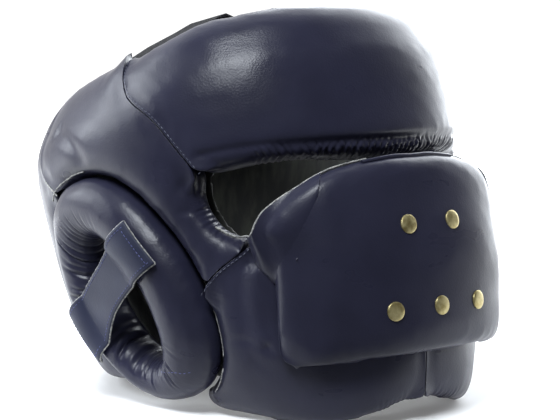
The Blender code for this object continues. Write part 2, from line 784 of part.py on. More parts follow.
def lining(side, finish, head_frame, name):
    """The soft skin on the inside of one half, open at the eyes and at the ear."""
    bottom_back = [(arc_at(angle), share * GUARD_HEIGHT + LINING_INSET)
                   for angle, share in BACK_BOTTOM_EDGE]
    bottom_back[-1] = (HALF_ROUND - SEAM_GAP / 2, bottom_back[-1][1])
    top = LINING_TOP * GUARD_HEIGHT
    middle = SEAM_GAP / 2
    brow = [(arc, height + LINING_INSET) for arc, height in on_pads(BROW_EDGE)]
    brow[0] = (middle, brow[0][1])
    eye = [(arc + EYE_INSET, height) for arc, height in on_pads(EYE_EDGE)[1:-1]]
    jaw_top = [(arc, height - LINING_INSET) for arc, height in on_pads(JAW_TOP_EDGE)[1:]]
    jaw_top[-1] = (middle, jaw_top[-1][1])
    jaw_bottom = [(arc, height + LINING_INSET) for arc, height in on_pads(JAW_BOTTOM_EDGE)]
    jaw_bottom[0] = (middle, jaw_bottom[0][1])
    sides = [
        ("rim", [(middle, top), (HALF_ROUND / 2, top), (bottom_back[-1][0], top)]),
        ("rim", [(bottom_back[-1][0], top), bottom_back[-1]]),
        ("rim", bottom_back[::-1]),
        ("rim", [bottom_back[0], jaw_bottom[-1]]),
        ("rim", jaw_bottom[::-1]),
        ("rim", [jaw_bottom[0], jaw_top[-1]]),
        ("rim", jaw_top[::-1] + eye + brow[::-1]),
        ("rim", [brow[0], (middle, top)]),
    ]
    loop, kinds = outline_loop(sides, FACE_SPACING)
    hole = [hole_oval(360 * i / 20, HOLE_INSET) for i in range(20)]
    if side < 0:
        loop = mirrored(loop)[::-1]
        hole = mirrored(hole)[::-1]
    area = sum(a[0] * b[1] - b[0] * a[1] for a, b in zip(hole, hole[1:] + hole[:1]))
    if area > 0:
        hole = hole[::-1]
    outline = Outline([loop, hole], [["rim"] * len(loop), ["rim"] * len(hole)])
    bm = slab(outline, lining_offset, lambda spot: lining_offset(spot) - LINING_THICKNESS,
              LINING_THICKNESS, 0.0, 0.0, 0.0, (BACK_SPACING, BACK_SPACING))
    return add_piece(name, bm, finish, head_frame)


def band(name, loop_sides, offset, thickness, finish, head_frame):
    """A flat strap that follows the form at an offset."""
    loop, kinds = outline_loop(loop_sides, EDGE_SPACING)
    bm = slab(Outline([loop], [kinds]), lambda spot: offset(spot) + thickness, offset,
              thickness, 0.0, 0.0, 0.0, (FACE_SPACING, FACE_SPACING))
    return add_piece(name, bm, finish, head_frame)


def closure_strap(finish, head_frame):
    """The wide strap that closes the two back pads."""
    low = CLOSURE_HEIGHT - CLOSURE_WIDTH / 2
    high = CLOSURE_HEIGHT + CLOSURE_WIDTH / 2
    left = HALF_ROUND - CLOSURE_REACH
    right = HALF_ROUND + CLOSURE_REACH
    sides = [("rim", [(left, low), (HALF_ROUND, low), (right, low)]),
             ("rim", [(right, low), (right, high)]),
             ("rim", [(right, high), (HALF_ROUND, high), (left, high)]),
             ("rim", [(left, high), (left, low)])]
    return band("closure_strap", sides, lambda spot: LAYER_GAP, STRAP_THICKNESS, finish,
                head_frame)


def chin_strap(finish, head_frame):
    """The strap sewn inside the jaw, whose lower edge shows under the chin."""
    reach = CHIN_STRAP_REACH
    below = on_pads(JAW_BOTTOM_EDGE)
    side = below[2][1] + CHIN_STRAP_LIFT
    quarter = below[1][1] - CHIN_STRAP_DROP / 2
    bottom = [(-reach, side), (-reach / 2, quarter), (0.0, below[0][1] - CHIN_STRAP_DROP),
              (reach / 2, quarter), (reach, side)]
    top = [(arc, height + CHIN_STRAP_WIDTH) for arc, height in bottom][::-1]
    sides = [("rim", bottom), ("rim", [bottom[-1], top[0]]), ("rim", top),
             ("rim", [top[-1], bottom[0]])]
    depth = LINING_THICKNESS + CHIN_STRAP_GAP + STRAP_THICKNESS
    return band("chin_strap", sides, lambda spot: lining_offset(spot) - depth, STRAP_THICKNESS,
                finish, head_frame)


def arch(start, crest, end, rises, stations):
    """Points from one wall over a crest to the other, rising by a table of shares."""
    line = []
    for i in range(2 * stations + 1):
        share = 1 - abs(i / stations - 1)
        foot = start if i < stations else end
        rise = float(np.interp(share, [row[0] for row in rises], [row[1] for row in rises]))
        line.append(Vector((foot.x + (crest.x - foot.x) * share,
                            foot.y + (crest.y - foot.y) * share,
                            foot.z + (crest.z - foot.z) * rise)))
    return line


def crown_straps(finish, head_frame, stations=8, fibres=3):
    """Two straps over the crown, the cross strap above the long one."""
    anchor = CROWN_ANCHOR * GUARD_HEIGHT
    skin = -pad_thickness(anchor) - LINING_GAP
    half = CROWN_STRAP_WIDTH / 2
    crest = GUARD_HEIGHT + CROWN_STRAP_RISE
    cross = []
    long = []
    for j in range(fibres + 1):
        aside = (2 * j / fibres - 1) * half
        shift = CROWN_STRAP_BACK + aside
        left = place(-(SIDE_ARC + shift), anchor, skin)
        right = place(SIDE_ARC + shift, anchor, skin)
        cross.append(arch(left, Vector((0, left.y, crest)), right, CROSS_STRAP_RISE, stations))
        front = place(aside, anchor, skin)
        back = place(HALF_ROUND - aside, anchor, skin)
        peak = crest - STRAP_THICKNESS - LAYER_GAP - CROWN_RIDGE_FALL * abs(aside)
        long.append(arch(front, Vector((front.x, CROWN_STRAP_BACK, peak)), back,
                         LONG_STRAP_RISE, stations))
    grid = [[line[i] for line in cross] for i in range(2 * stations + 1)]
    add_piece("crown_strap_cross", sheet_solid(grid, -STRAP_THICKNESS), finish, head_frame)
    grid = [[line[i] for line in long] for i in range(2 * stations + 1)]
    add_piece("crown_strap_long", sheet_solid(grid, STRAP_THICKNESS), finish, head_frame)


def centre_on_floor(head_frame):
    """Slide the guard along Y until the origin is under the middle of its box."""
    bpy.context.view_layer.update()
    corners = []
    for piece in head_frame.children:
        corners += [(piece.matrix_world @ vertex.co).y for vertex in piece.data.vertices]
    head_frame.location.y -= (min(corners) + max(corners)) / 2


def main():
    for thing in list(bpy.data.objects):
        bpy.data.objects.remove(thing, do_unlink=True)

    leather = material("navy leather", (0.016, 0.018, 0.034), 0.36)
    suede = material("dark lining", (0.016, 0.019, 0.016), 0.85)
    webbing = material("black webbing", (0.010, 0.010, 0.014), 0.7)
    brass = material("brass", (0.62, 0.52, 0.27), 0.35, 1.0)

    head_frame = bpy.data.objects.new("head_frame", None)
    bpy.context.collection.objects.link(head_frame)
    head_frame.rotation_euler.x = -LEAN_BACK
    corner_angle, corner_share = JAW_BOTTOM_EDGE[2]
    jaw_corner = form_point(math.radians(corner_angle), corner_share * GUARD_HEIGHT)
    head_frame.location.z = -(jaw_corner.z * math.cos(LEAN_BACK)
                              - jaw_corner.y * math.sin(LEAN_BACK)) - FLOOR_SINK
    bpy.context.view_layer.update()

    pad("forehead_pad", forehead_sides(), leather, head_frame)
    for word, side in WEARER_SIDES:
        pad("temple_pad_" + word, temple_sides(side), leather, head_frame)
        pad("jaw_pad_" + word, jaw_sides(side), leather, head_frame)
        pad("back_pad_" + word, back_sides(side), leather, head_frame)
        ear_ring(side, leather, head_frame, "ear_ring_" + word)
        ear_strap(side, leather, head_frame, "ear_strap_" + word)
        lining(side, suede, head_frame, "lining_" + word)
    face_bar(leather, head_frame)
    for number in (-1, 0, 1):
        rivet("rivet_lower_" + str(number + 2), number * RIVET_LOWER_PITCH,
              RIVET_LOWER_HEIGHT, brass, head_frame)
    for number, side in ((1, -1), (2, 1)):
        rivet("rivet_upper_" + str(number), side * RIVET_UPPER_PITCH / 2,
              RIVET_UPPER_HEIGHT, brass, head_frame)
    closure_strap(leather, head_frame)
    chin_strap(webbing, head_frame)
    crown_straps(webbing, head_frame)
    centre_on_floor(head_frame)


main()
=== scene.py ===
# %% [markdown]
# # A full face head guard
# The guard is a cap of thick foam pads under leather: a forehead panel, two temple panels,
# two jaw panels and two back panels, a padded ring round each ear, and a thick riveted bar
# over nose and mouth. The CAD model holds the true solids. This file dresses them: each pad
# is puffed up as foam under leather, then creased, gathered, stitched and finished.

# %% Load the CAD frame
import math

import bmesh
import bpy
import numpy as np
from mathutils import Matrix, Vector
from mathutils.bvhtree import BVHTree
from mathutils.kdtree import KDTree


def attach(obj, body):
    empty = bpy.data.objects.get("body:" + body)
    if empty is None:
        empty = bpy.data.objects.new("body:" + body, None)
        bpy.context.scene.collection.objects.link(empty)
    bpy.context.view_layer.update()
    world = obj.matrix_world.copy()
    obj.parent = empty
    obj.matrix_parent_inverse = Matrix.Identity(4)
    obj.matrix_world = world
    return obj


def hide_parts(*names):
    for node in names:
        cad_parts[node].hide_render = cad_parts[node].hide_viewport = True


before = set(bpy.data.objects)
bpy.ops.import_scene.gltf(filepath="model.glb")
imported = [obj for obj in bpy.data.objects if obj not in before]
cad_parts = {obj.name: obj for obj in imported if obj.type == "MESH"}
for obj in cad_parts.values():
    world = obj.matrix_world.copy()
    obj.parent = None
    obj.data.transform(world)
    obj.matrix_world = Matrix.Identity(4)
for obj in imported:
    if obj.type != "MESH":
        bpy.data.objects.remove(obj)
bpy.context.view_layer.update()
scene = bpy.context.scene
MM = 0.001
print("CAD nodes:", len(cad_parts))

# %% [markdown]
# ## Camera
# The photograph looks at the wearer's right side of the guard, a little from above, from far
# away. A long lens a metre off gives the same quiet perspective.

# %% Set up the camera
CAMERA_AZIMUTH = math.radians(-40)
CAMERA_ELEVATION = math.radians(6)
CAMERA_DISTANCE = 1.0
CAMERA_TARGET = Vector((0, -0.00983, 0.10184))
toward_camera = Vector((math.sin(CAMERA_AZIMUTH) * math.cos(CAMERA_ELEVATION),
                        -math.cos(CAMERA_AZIMUTH) * math.cos(CAMERA_ELEVATION),
                        math.sin(CAMERA_ELEVATION)))
camera = bpy.data.objects.new("camera", bpy.data.cameras.new("camera"))
scene.collection.objects.link(camera)
camera.location = CAMERA_TARGET + toward_camera * CAMERA_DISTANCE
camera.rotation_euler = toward_camera.to_track_quat("Z", "Y").to_euler()
camera.data.lens = 112.5
camera.data.sensor_width = 36
scene.camera = camera
print("camera at", tuple(round(value, 3) for value in camera.location))

# %% [markdown]
# ## The form under the pads
# Every pad lies on one common shape, a leaned-back head made of rounded sections. The CAD
# model was drawn on it with three measures: the arc length round the head, the height above
# the chin line and the offset along the form's normal. The same measures are set up here,
# so that a crease or a row of stitches can be drawn where a maker would mark it.

# %% The form's sections
GUARD_HEIGHT = 206 * MM
FORM_SCALE = np.array((116 * MM, 126 * MM, 124 * MM, 27 * MM, 1))
FORM = np.array((
    # height, width, front, back, thickness, power
    (-0.10, 0.620, 0.950, 0.660, 0.62, 2.90),
    (-0.04, 0.638, 0.985, 0.677, 0.66, 2.90),
    (0.097, 0.793, 1.026, 0.806, 0.86, 2.45),
    (0.243, 0.888, 1.008, 0.903, 0.95, 2.25),
    (0.413, 0.948, 0.984, 0.968, 0.98, 2.20),
    (0.558, 0.983, 0.960, 1.000, 0.98, 2.20),
    (0.704, 1.000, 0.944, 1.020, 1.00, 2.20),
    (0.835, 0.985, 0.917, 0.990, 0.96, 2.20),
    (0.932, 0.915, 0.868, 0.920, 0.82, 2.20),
    (1.000, 0.810, 0.788, 0.815, 0.64, 2.20),
    (1.070, 0.640, 0.640, 0.640, 0.50, 2.20),
))
CROWN_DIP = 36 * MM
CROWN_DIP_START = 0.53
CROWN_FALL_ANGLES = (0, 30, 50, 74, 110, 180)
CROWN_FALL_SHARES = (0.00, 0.02, 0.14, 0.46, 0.76, 1.00)
ARC_SHARE = 0.558
BASE_POWER = 2.2
LEAN_BACK = math.radians(10)
HEAD_PLACE = np.array((0, -4.83 * MM, -2.16 * MM))

above = np.minimum(np.arange(len(FORM)) + 1, len(FORM) - 1)
below = np.maximum(np.arange(len(FORM)) - 1, 0)
SLOPES = (FORM[above, 1:] - FORM[below, 1:]) / (FORM[above, :1] - FORM[below, :1])


def section(height):
    """Half width, front, back, pad thickness and front power at each height."""
    share = np.clip(height / GUARD_HEIGHT, FORM[0, 0], FORM[-1, 0])
    row = np.clip(np.searchsorted(FORM[:, 0], share) - 1, 0, len(FORM) - 2)
    step = (FORM[row + 1, 0] - FORM[row, 0])[..., None]
    t = (share - FORM[row, 0])[..., None] / step
    keep = 2 * t ** 3 - 3 * t ** 2
    curve = (FORM[row, 1:] * (keep + 1) - FORM[row + 1, 1:] * keep
             + SLOPES[row] * step * (t ** 3 - 2 * t ** 2 + t)
             + SLOPES[row + 1] * step * (t ** 3 - t ** 2))
    return curve * FORM_SCALE


def form_point(angle, height):
    """Points of the form at angles from the front, in the head's own frame."""
    half_width, front, back, _, power = np.moveaxis(section(height), -1, 0)
    across = np.sign(np.sin(angle)) * np.abs(np.sin(angle)) ** (2 / BASE_POWER)
    along = np.sign(np.cos(angle)) * np.abs(np.cos(angle)) ** (2 / BASE_POWER)
    squarer = (np.abs(across) ** power + np.abs(along) ** power) ** (-1 / power)
    full = np.where(along > 0, squarer, 1.0)
    reach = np.where(along > 0, front, back)
    turned = np.abs((np.degrees(angle) + 180) % 360 - 180)
    fall = np.interp(turned, CROWN_FALL_ANGLES, CROWN_FALL_SHARES)
    rise = (height / GUARD_HEIGHT - CROWN_DIP_START) / (1 - CROWN_DIP_START)
    rise = np.clip(rise, 0, 1.1)
    drop = CROWN_DIP * fall * rise * rise * (3 - 2 * np.minimum(rise, 1))
    return np.stack((half_width * across * full, -reach * along * full, height - drop), -1)


# %% Arc lengths, and places on the form
table_angles = np.radians(np.arange(361) / 2)
table_points = form_point(table_angles, np.full(361, ARC_SHARE * GUARD_HEIGHT))
table_steps = np.linalg.norm(np.diff(table_points, axis=0), axis=1)
table_arcs = np.concatenate(([0.0], np.cumsum(table_steps)))
HALF_ROUND = float(table_arcs[-1])


def arc_at(degrees):
    return np.sign(degrees) * np.interp(np.radians(np.abs(degrees)), table_angles, table_arcs)


def surface(arc, height):
    length = np.abs(arc)
    behind = length > HALF_ROUND
    length = np.where(behind, 2 * HALF_ROUND - length, length)
    angle = np.interp(length, table_arcs, table_angles)
    angle = np.where(behind, 2 * math.pi - angle, angle)
    return form_point(np.copysign(angle, arc), height)


def to_world(points):
    turn = np.array(Matrix.Rotation(-LEAN_BACK, 3, "X"))
    return points @ turn.T + HEAD_PLACE


def head_place(arc, height, offset=0.0):
    """Points and outward normals for arc lengths, heights and offsets, in the head's frame."""
    arc, height, offset = np.broadcast_arrays(*map(np.asarray, (arc, height, offset)))
    arc = arc.astype(float)
    height = height.astype(float)
    step = 0.5 * MM
    along = surface(arc + step, height) - surface(arc - step, height)
    up = surface(arc, height + step) - surface(arc, height - step)
    normal = np.cross(along, up)
    normal /= np.linalg.norm(normal, axis=-1, keepdims=True)
    return surface(arc, height) + normal * offset[..., None], normal


def place(arc, height, offset=0.0):
    """The same in the world."""
    points, normal = head_place(arc, height, offset)
    return to_world(points), to_world(normal) - HEAD_PLACE


SIDE_ARC = float(arc_at(90.0))
print("half way round the head:", round(HALF_ROUND / MM), "mm")

# %% [markdown]
# The other way round, each vertex of a finished pad has to know where on the form it is. A
# grid of points on the form is searched for the nearest one, and the rest of the way is
# measured along the grid's own directions.

# %% Find a vertex's place on the form
LOOKUP_STEP = 2.5 * MM
LOOKUP_HEIGHTS = (-24 * MM, 222 * MM)
lookup_arcs, lookup_heights = np.meshgrid(
    np.arange(-HALF_ROUND, HALF_ROUND, LOOKUP_STEP),
    np.arange(*LOOKUP_HEIGHTS, LOOKUP_STEP))
lookup_arcs = lookup_arcs.ravel()
lookup_heights = lookup_heights.ravel()
lookup_points, lookup_normals = place(lookup_arcs, lookup_heights)
lookup_along = (place(lookup_arcs + MM, lookup_heights)[0] - lookup_points) / MM
lookup_up = (place(lookup_arcs, lookup_heights + MM)[0] - lookup_points) / MM
lookup_tree = KDTree(len(lookup_points))
for number, point in enumerate(lookup_points):
    lookup_tree.insert(point, number)
lookup_tree.balance()


def locate(points):
    """Arc, height and offset of world points."""
    nearest = np.array([lookup_tree.find(point)[1] for point in points])
    away = points - lookup_points[nearest]
    along = lookup_along[nearest]
    up = lookup_up[nearest]
    arc = lookup_arcs[nearest] + (away * along).sum(1) / (along * along).sum(1)
    height = lookup_heights[nearest] + (away * up).sum(1) / (up * up).sum(1)
    return arc, height, (away * lookup_normals[nearest]).sum(1)


print("places on the form to search:", len(lookup_points))

# %% [markdown]
# ## Small helpers
# Lines on the leather are drawn through a few marks, as a maker draws them with chalk, and
# then smoothed. A soft step fades every crease out at its ends.

# %% Lines, fades and distances
LINE_STEPS = 16


def smooth_line(marks, spacing):
    """A smooth line through marks, sampled evenly."""
    marks = np.array(marks, float)
    if len(marks) > 2:
        marks = np.vstack((2 * marks[0] - marks[1], marks, 2 * marks[-1] - marks[-2]))
        t = (np.arange(LINE_STEPS) / LINE_STEPS)[:, None]
        parts = []
        for last, start, end, after in zip(marks, marks[1:], marks[2:], marks[3:]):
            parts.append(0.5 * (2 * start + (end - last) * t
                                + (2 * last - 5 * start + 4 * end - after) * t ** 2
                                + (3 * start - last - 3 * end + after) * t ** 3))
        marks = np.vstack((*parts, marks[-2:-1]))
    lengths = np.concatenate(([0], np.cumsum(np.linalg.norm(np.diff(marks, axis=0), axis=1))))
    wanted = np.linspace(0, lengths[-1], max(2, int(lengths[-1] / spacing) + 1))
    return np.stack([np.interp(wanted, lengths, column) for column in marks.T], -1)


def on_form(rows):
    """Marks given as an angle from the front and a share of the height."""
    return [(float(arc_at(angle)), share * GUARD_HEIGHT) for angle, share in rows]


def fade(value, start, end):
    """A soft step: 0 up to start and 1 from end, or the other way if start is the larger."""
    t = np.clip((value - start) / (end - start), 0, 1)
    return t * t * (3 - 2 * t)


def near_line(arc, height, line):
    """For each place: the distance to a line, the length along it, and the side it is on."""
    line = np.array(line)
    starts = line[:-1]
    runs = line[1:] - line[:-1]
    lengths = np.linalg.norm(runs, axis=1)
    before = np.concatenate(([0], np.cumsum(lengths)[:-1]))
    best = np.full(len(arc), np.inf)
    along = np.zeros(len(arc))
    side = np.zeros(len(arc))
    for start, run, length, base in zip(starts, runs, lengths, before):
        gap = np.stack((arc - start[0], height - start[1]), -1)
        share = np.clip((gap @ run) / length ** 2, 0, 1)
        rest = gap - share[:, None] * run
        distance = np.linalg.norm(rest, axis=1)
        closer = distance < best
        best = np.where(closer, distance, best)
        along = np.where(closer, base + share * length, along)
        side = np.where(closer, np.sign(run[0] * gap[:, 1] - run[1] * gap[:, 0]), side)
    return best, along, side


def other_side(line):
    """A line's places on the other half of the head."""
    return [(-arc, height) for arc, height in line]


print("soft step half way:", fade(0.5, 0, 1))

# %% Meshes as arrays, and modifiers


def coordinates(piece):
    points = np.empty(len(piece.data.vertices) * 3)
    piece.data.vertices.foreach_get("co", points)
    return points.reshape(-1, 3)


def normals(piece):
    found = np.empty(len(piece.data.vertices) * 3)
    piece.data.vertices.foreach_get("normal", found)
    return found.reshape(-1, 3)


def set_coordinates(piece, points):
    piece.data.vertices.foreach_set("co", points.ravel())
    piece.data.update()


def activate(piece):
    bpy.ops.object.select_all(action="DESELECT")
    piece.select_set(True)
    bpy.context.view_layer.objects.active = piece


def apply_modifier(piece, kind, **settings):
    modifier = piece.modifiers.new(kind.lower(), kind)
    for key, value in settings.items():
        setattr(modifier, key, value)
    activate(piece)
    bpy.ops.object.modifier_apply(modifier=modifier.name)


def mirrored_copy(piece, name):
    """The same piece for the other side of the head, with its faces turned back outwards."""
    twin = bpy.data.objects.new(name, piece.data.copy())
    scene.collection.objects.link(twin)
    set_coordinates(twin, coordinates(twin) * (-1, 1, 1))
    twin.data.flip_normals()
    return twin


# %% [markdown]
# ## Finishes
# Each finish is a few nodes in front of a Principled BSDF: a pattern is mixed into the colour,
# the roughness and the bump. A photograph of leather would do too, but it would need a flat
# layout of every pad. Every pattern here reads Object coordinates, which need none and stay on
# the piece from any side.

# %% Node helpers


def new_material(name):
    made = bpy.data.materials.new(name)
    made.use_nodes = True
    nodes = made.node_tree.nodes
    return made, nodes, made.node_tree.links, nodes["Principled BSDF"]


def noise(nodes, links, source, scale, detail=3.0, stretch=None):
    """A noise texture on object coordinates, stretched where a pattern has a direction."""
    texture = nodes.new("ShaderNodeTexNoise")
    texture.inputs["Scale"].default_value = scale
    texture.inputs["Detail"].default_value = detail
    if stretch:
        mapping = nodes.new("ShaderNodeMapping")
        mapping.inputs["Scale"].default_value = stretch
        links.new(source, mapping.inputs["Vector"])
        source = mapping.outputs["Vector"]
    links.new(source, texture.inputs["Vector"])
    return texture.outputs["Fac"]


def ramp(nodes, links, source, low, high, start=0.35, end=0.65):
    """Two colours or greys blended by a pattern."""
    blend = nodes.new("ShaderNodeValToRGB")
    blend.color_ramp.elements[0].position = start
    blend.color_ramp.elements[1].position = end
    blend.color_ramp.elements[0].color = (*low, 1)
    blend.color_ramp.elements[1].color = (*high, 1)
    links.new(source, blend.inputs["Fac"])
    return blend.outputs["Color"]


def bump(nodes, links, source, strength, distance, under=None):
    relief = nodes.new("ShaderNodeBump")
    relief.inputs["Strength"].default_value = strength
    relief.inputs["Distance"].default_value = distance
    links.new(source, relief.inputs["Height"])
    if under:
        links.new(under, relief.inputs["Normal"])
    return relief.outputs["Normal"]


# %% [markdown]
# The pads are navy cowhide with a half gloss. A Voronoi texture gives its fine pebbled grain,
# and a slow noise changes the gloss where the hide was stretched. The straps are cut from a
# drier piece, so they get the same nodes with more roughness.

# %% Leather


def leather(name, dark, light, gloss, grain):
    """Semi-gloss hide: dark and light are its colours, gloss its roughness at least and most."""
    made, nodes, links, shader = new_material(name)
    place_on = nodes.new("ShaderNodeTexCoord").outputs["Object"]
    clouds = noise(nodes, links, place_on, 26.0, 4.0)
    links.new(ramp(nodes, links, clouds, dark, light), shader.inputs["Base Color"])
    patches = noise(nodes, links, place_on, 34.0, 2.0, (1.0, 1.0, 2.2))
    rough = ramp(nodes, links, patches, (gloss[0],) * 3, (gloss[1],) * 3, 0.3, 0.7)
    links.new(rough, shader.inputs["Roughness"])
    pebbles = nodes.new("ShaderNodeTexVoronoi")
    pebbles.inputs["Scale"].default_value = 900.0
    links.new(place_on, pebbles.inputs["Vector"])
    fine = bump(nodes, links, pebbles.outputs["Distance"], grain, 0.25 * MM)
    soft = noise(nodes, links, place_on, 160.0, 3.0)
    links.new(bump(nodes, links, soft, grain * 0.8, 0.5 * MM, fine), shader.inputs["Normal"])
    shader.inputs["Specular IOR Level"].default_value = 0.26
    return made


pad_leather = leather("navy_hide", (0.0165, 0.0168, 0.0330), (0.0220, 0.0224, 0.0430),
                      (0.27, 0.38), 0.16)
strap_leather = leather("navy_strap_hide", (0.014, 0.017, 0.038), (0.022, 0.026, 0.052),
                        (0.42, 0.56), 0.22)
print("leather:", pad_leather.name, strap_leather.name)

# %% [markdown]
# The small parts each need one mark of their own: suede has a nap that runs one way, webbing
# has ribs, thread and raw hide are only fibres, and the brass is worn. A stretched noise makes
# the nap and a wave texture the ribs. Modelled hairs would cost far more and show no better.

# %% Suede, webbing, thread, raw edges and brass


def suede(name, dark, light):
    """Brushed lining with streaks down its nap."""
    made, nodes, links, shader = new_material(name)
    place_on = nodes.new("ShaderNodeTexCoord").outputs["Object"]
    streaks = noise(nodes, links, place_on, 210.0, 6.0, (1.0, 1.0, 0.16))
    links.new(ramp(nodes, links, streaks, dark, light, 0.42, 0.66), shader.inputs["Base Color"])
    shader.inputs["Roughness"].default_value = 0.82
    shader.inputs["Sheen Weight"].default_value = 0.25
    shader.inputs["Sheen Roughness"].default_value = 0.5
    links.new(bump(nodes, links, streaks, 0.6, 0.8 * MM), shader.inputs["Normal"])
    return made


def webbing(name, dark, light, rib):
    """Woven tape: ribs across it, broken up by single threads."""
    made, nodes, links, shader = new_material(name)
    place_on = nodes.new("ShaderNodeTexCoord").outputs["Object"]
    ribs = nodes.new("ShaderNodeTexWave")
    ribs.inputs["Scale"].default_value = rib
    ribs.inputs["Distortion"].default_value = 1.5
    links.new(place_on, ribs.inputs["Vector"])
    threads = noise(nodes, links, place_on, 900.0, 2.0)
    links.new(ramp(nodes, links, threads, dark, light), shader.inputs["Base Color"])
    shader.inputs["Roughness"].default_value = 0.85
    shader.inputs["Specular IOR Level"].default_value = 0.1
    under = bump(nodes, links, ribs.outputs["Fac"], 0.5, 0.5 * MM)
    links.new(bump(nodes, links, threads, 0.4, 0.4 * MM, under), shader.inputs["Normal"])
    return made


def plain_fibre(name, dark, light, roughness):
    made, nodes, links, shader = new_material(name)
    place_on = nodes.new("ShaderNodeTexCoord").outputs["Object"]
    fibres = noise(nodes, links, place_on, 700.0, 4.0)
    links.new(ramp(nodes, links, fibres, dark, light), shader.inputs["Base Color"])
    shader.inputs["Roughness"].default_value = roughness
    links.new(bump(nodes, links, fibres, 0.5, 0.3 * MM), shader.inputs["Normal"])
    return made


def brass(name):
    """Cap rivets: brushed brass, worn paler in patches."""
    made, nodes, links, shader = new_material(name)
    place_on = nodes.new("ShaderNodeTexCoord").outputs["Object"]
    wear = noise(nodes, links, place_on, 380.0, 4.0)
    links.new(ramp(nodes, links, wear, (0.36, 0.29, 0.12), (0.56, 0.49, 0.26)),
              shader.inputs["Base Color"])
    links.new(ramp(nodes, links, wear, (0.34,) * 3, (0.5,) * 3), shader.inputs["Roughness"])
    shader.inputs["Metallic"].default_value = 0.85
    links.new(bump(nodes, links, wear, 0.3, 0.2 * MM), shader.inputs["Normal"])
    return made


lining_suede = suede("black_suede", (0.0016, 0.0018, 0.0012), (0.018, 0.020, 0.013))
black_webbing = webbing("black_webbing", (0.003, 0.003, 0.004), (0.015, 0.015, 0.018), 160.0)
raw_edge = plain_fibre("raw_hide_edge", (0.12, 0.12, 0.12), (0.42, 0.42, 0.40), 0.8)
blue_thread = plain_fibre("blue_thread", (0.030, 0.036, 0.13), (0.075, 0.085, 0.22), 0.6)
grey_thread = plain_fibre("grey_thread", (0.055, 0.062, 0.10), (0.14, 0.15, 0.20), 0.6)
rivet_brass = brass("worn_brass")
rivet_rim = brass("rivet_rim")
print("finishes:", len(bpy.data.materials))

# %% [markdown]
# ## Puffed pads
# A real pad is foam pressed under a tight leather skin. The CAD solid of each pad is copied
# and cut into even squares by a voxel remesh. Then Blender's cloth blows it up with a little
# air, while its back is held, and the skin may move out only a few millimetres, most in the
# middle and not at all at its seams. Of the side pads only the right-hand ones are made so.
# The left-hand ones are mirrored from them.

# %% Copy a CAD solid


def cad_copy(node, name):
    """A merged copy of a CAD node's mesh."""
    piece = bpy.data.objects.new(name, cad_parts[node].data.copy())
    scene.collection.objects.link(piece)
    mesh = bmesh.new()
    mesh.from_mesh(piece.data)
    bmesh.ops.remove_doubles(mesh, verts=mesh.verts, dist=0.01 * MM)
    bmesh.ops.recalc_face_normals(mesh, faces=mesh.faces)
    mesh.to_mesh(piece.data)
    mesh.free()
    piece.data.materials.clear()
    return piece


print("the forehead pad starts from", len(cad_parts["forehead_pad"].data.vertices), "points")

# %% Blow it up with the cloth
PUFF_PRESSURE = 4.0
PUFF_FRAMES = 20


def blow_up(piece, held):
    """Run the cloth with air inside; the vertices in held stay where they are."""
    group = piece.vertex_groups.new(name="held")
    group.add([int(number) for number in np.flatnonzero(held)], 1.0, "REPLACE")
    cloth = piece.modifiers.new("cloth", "CLOTH")
    settings = cloth.settings
    settings.quality = 4
    settings.mass = 0.3
    settings.tension_stiffness = 12
    settings.compression_stiffness = 12
    settings.bending_stiffness = 0.6
    settings.use_pressure = True
    settings.uniform_pressure_force = PUFF_PRESSURE
    settings.vertex_group_mass = "held"
    settings.effector_weights.gravity = 0
    cloth.point_cache.frame_start = 1
    cloth.point_cache.frame_end = PUFF_FRAMES
    for number in range(1, PUFF_FRAMES + 1):
        scene.frame_set(number)
    activate(piece)
    bpy.ops.object.modifier_apply(modifier=cloth.name)
    scene.frame_set(1)
    piece.vertex_groups.clear()


print("the cloth runs for", PUFF_FRAMES, "frames")

# %% [markdown]
# Where two pads are sewn together, their leathers meet in a fine dark line. The CAD solids
# keep a gap there, and the remesh rounds it into a wide ditch. Sculpting could close it, but a
# formula does it the same way each time: the skin near a seam is drawn up to it.

# %% Draw the seams closed
SEAM_STEP = 3 * MM
SEAM_REACH = 7 * MM
SEAM_LEFT = 0.25 * MM
SEAM_LEVEL = -0.2 * MM
SEAM_SKIN_START = -8 * MM
SEAM_SKIN = -4 * MM
CLOSE_TO_LINE = 0.01 * MM


def drawn_to(across, up, line, chosen, reach, left):
    """Places drawn to a line, so that the nearest chosen ones end up only left away from it."""
    line = smooth_line(line, 2 * MM)
    distance, along, _ = near_line(across, up, line)
    lengths = np.concatenate(([0], np.cumsum(np.linalg.norm(np.diff(line, axis=0), axis=1))))
    steps = np.arange(0, lengths[-1] + SEAM_STEP, SEAM_STEP)
    number = np.clip((along / SEAM_STEP).astype(int), 0, len(steps) - 1)
    edge = np.full(len(steps), np.inf)
    np.minimum.at(edge, number[chosen], distance[chosen])
    known = np.isfinite(edge) & (edge < 2 * reach)
    if not known.any():
        return across, up, 0 * across
    edge = np.interp(steps, steps[known], edge[known])
    edge = np.convolve(np.pad(edge, 2, mode="edge"), np.ones(5) / 5, mode="valid")
    gap = np.interp(along, steps, edge)
    near = fade(distance, gap + reach, gap)
    close = np.maximum(distance, CLOSE_TO_LINE)
    share = np.minimum(np.maximum(gap - left, 0) * near / close, np.maximum(1 - left / close, 0))
    foot = [np.interp(along, lengths, column) for column in line.T]
    return across + (foot[0] - across) * share, up + (foot[1] - up) * share, near


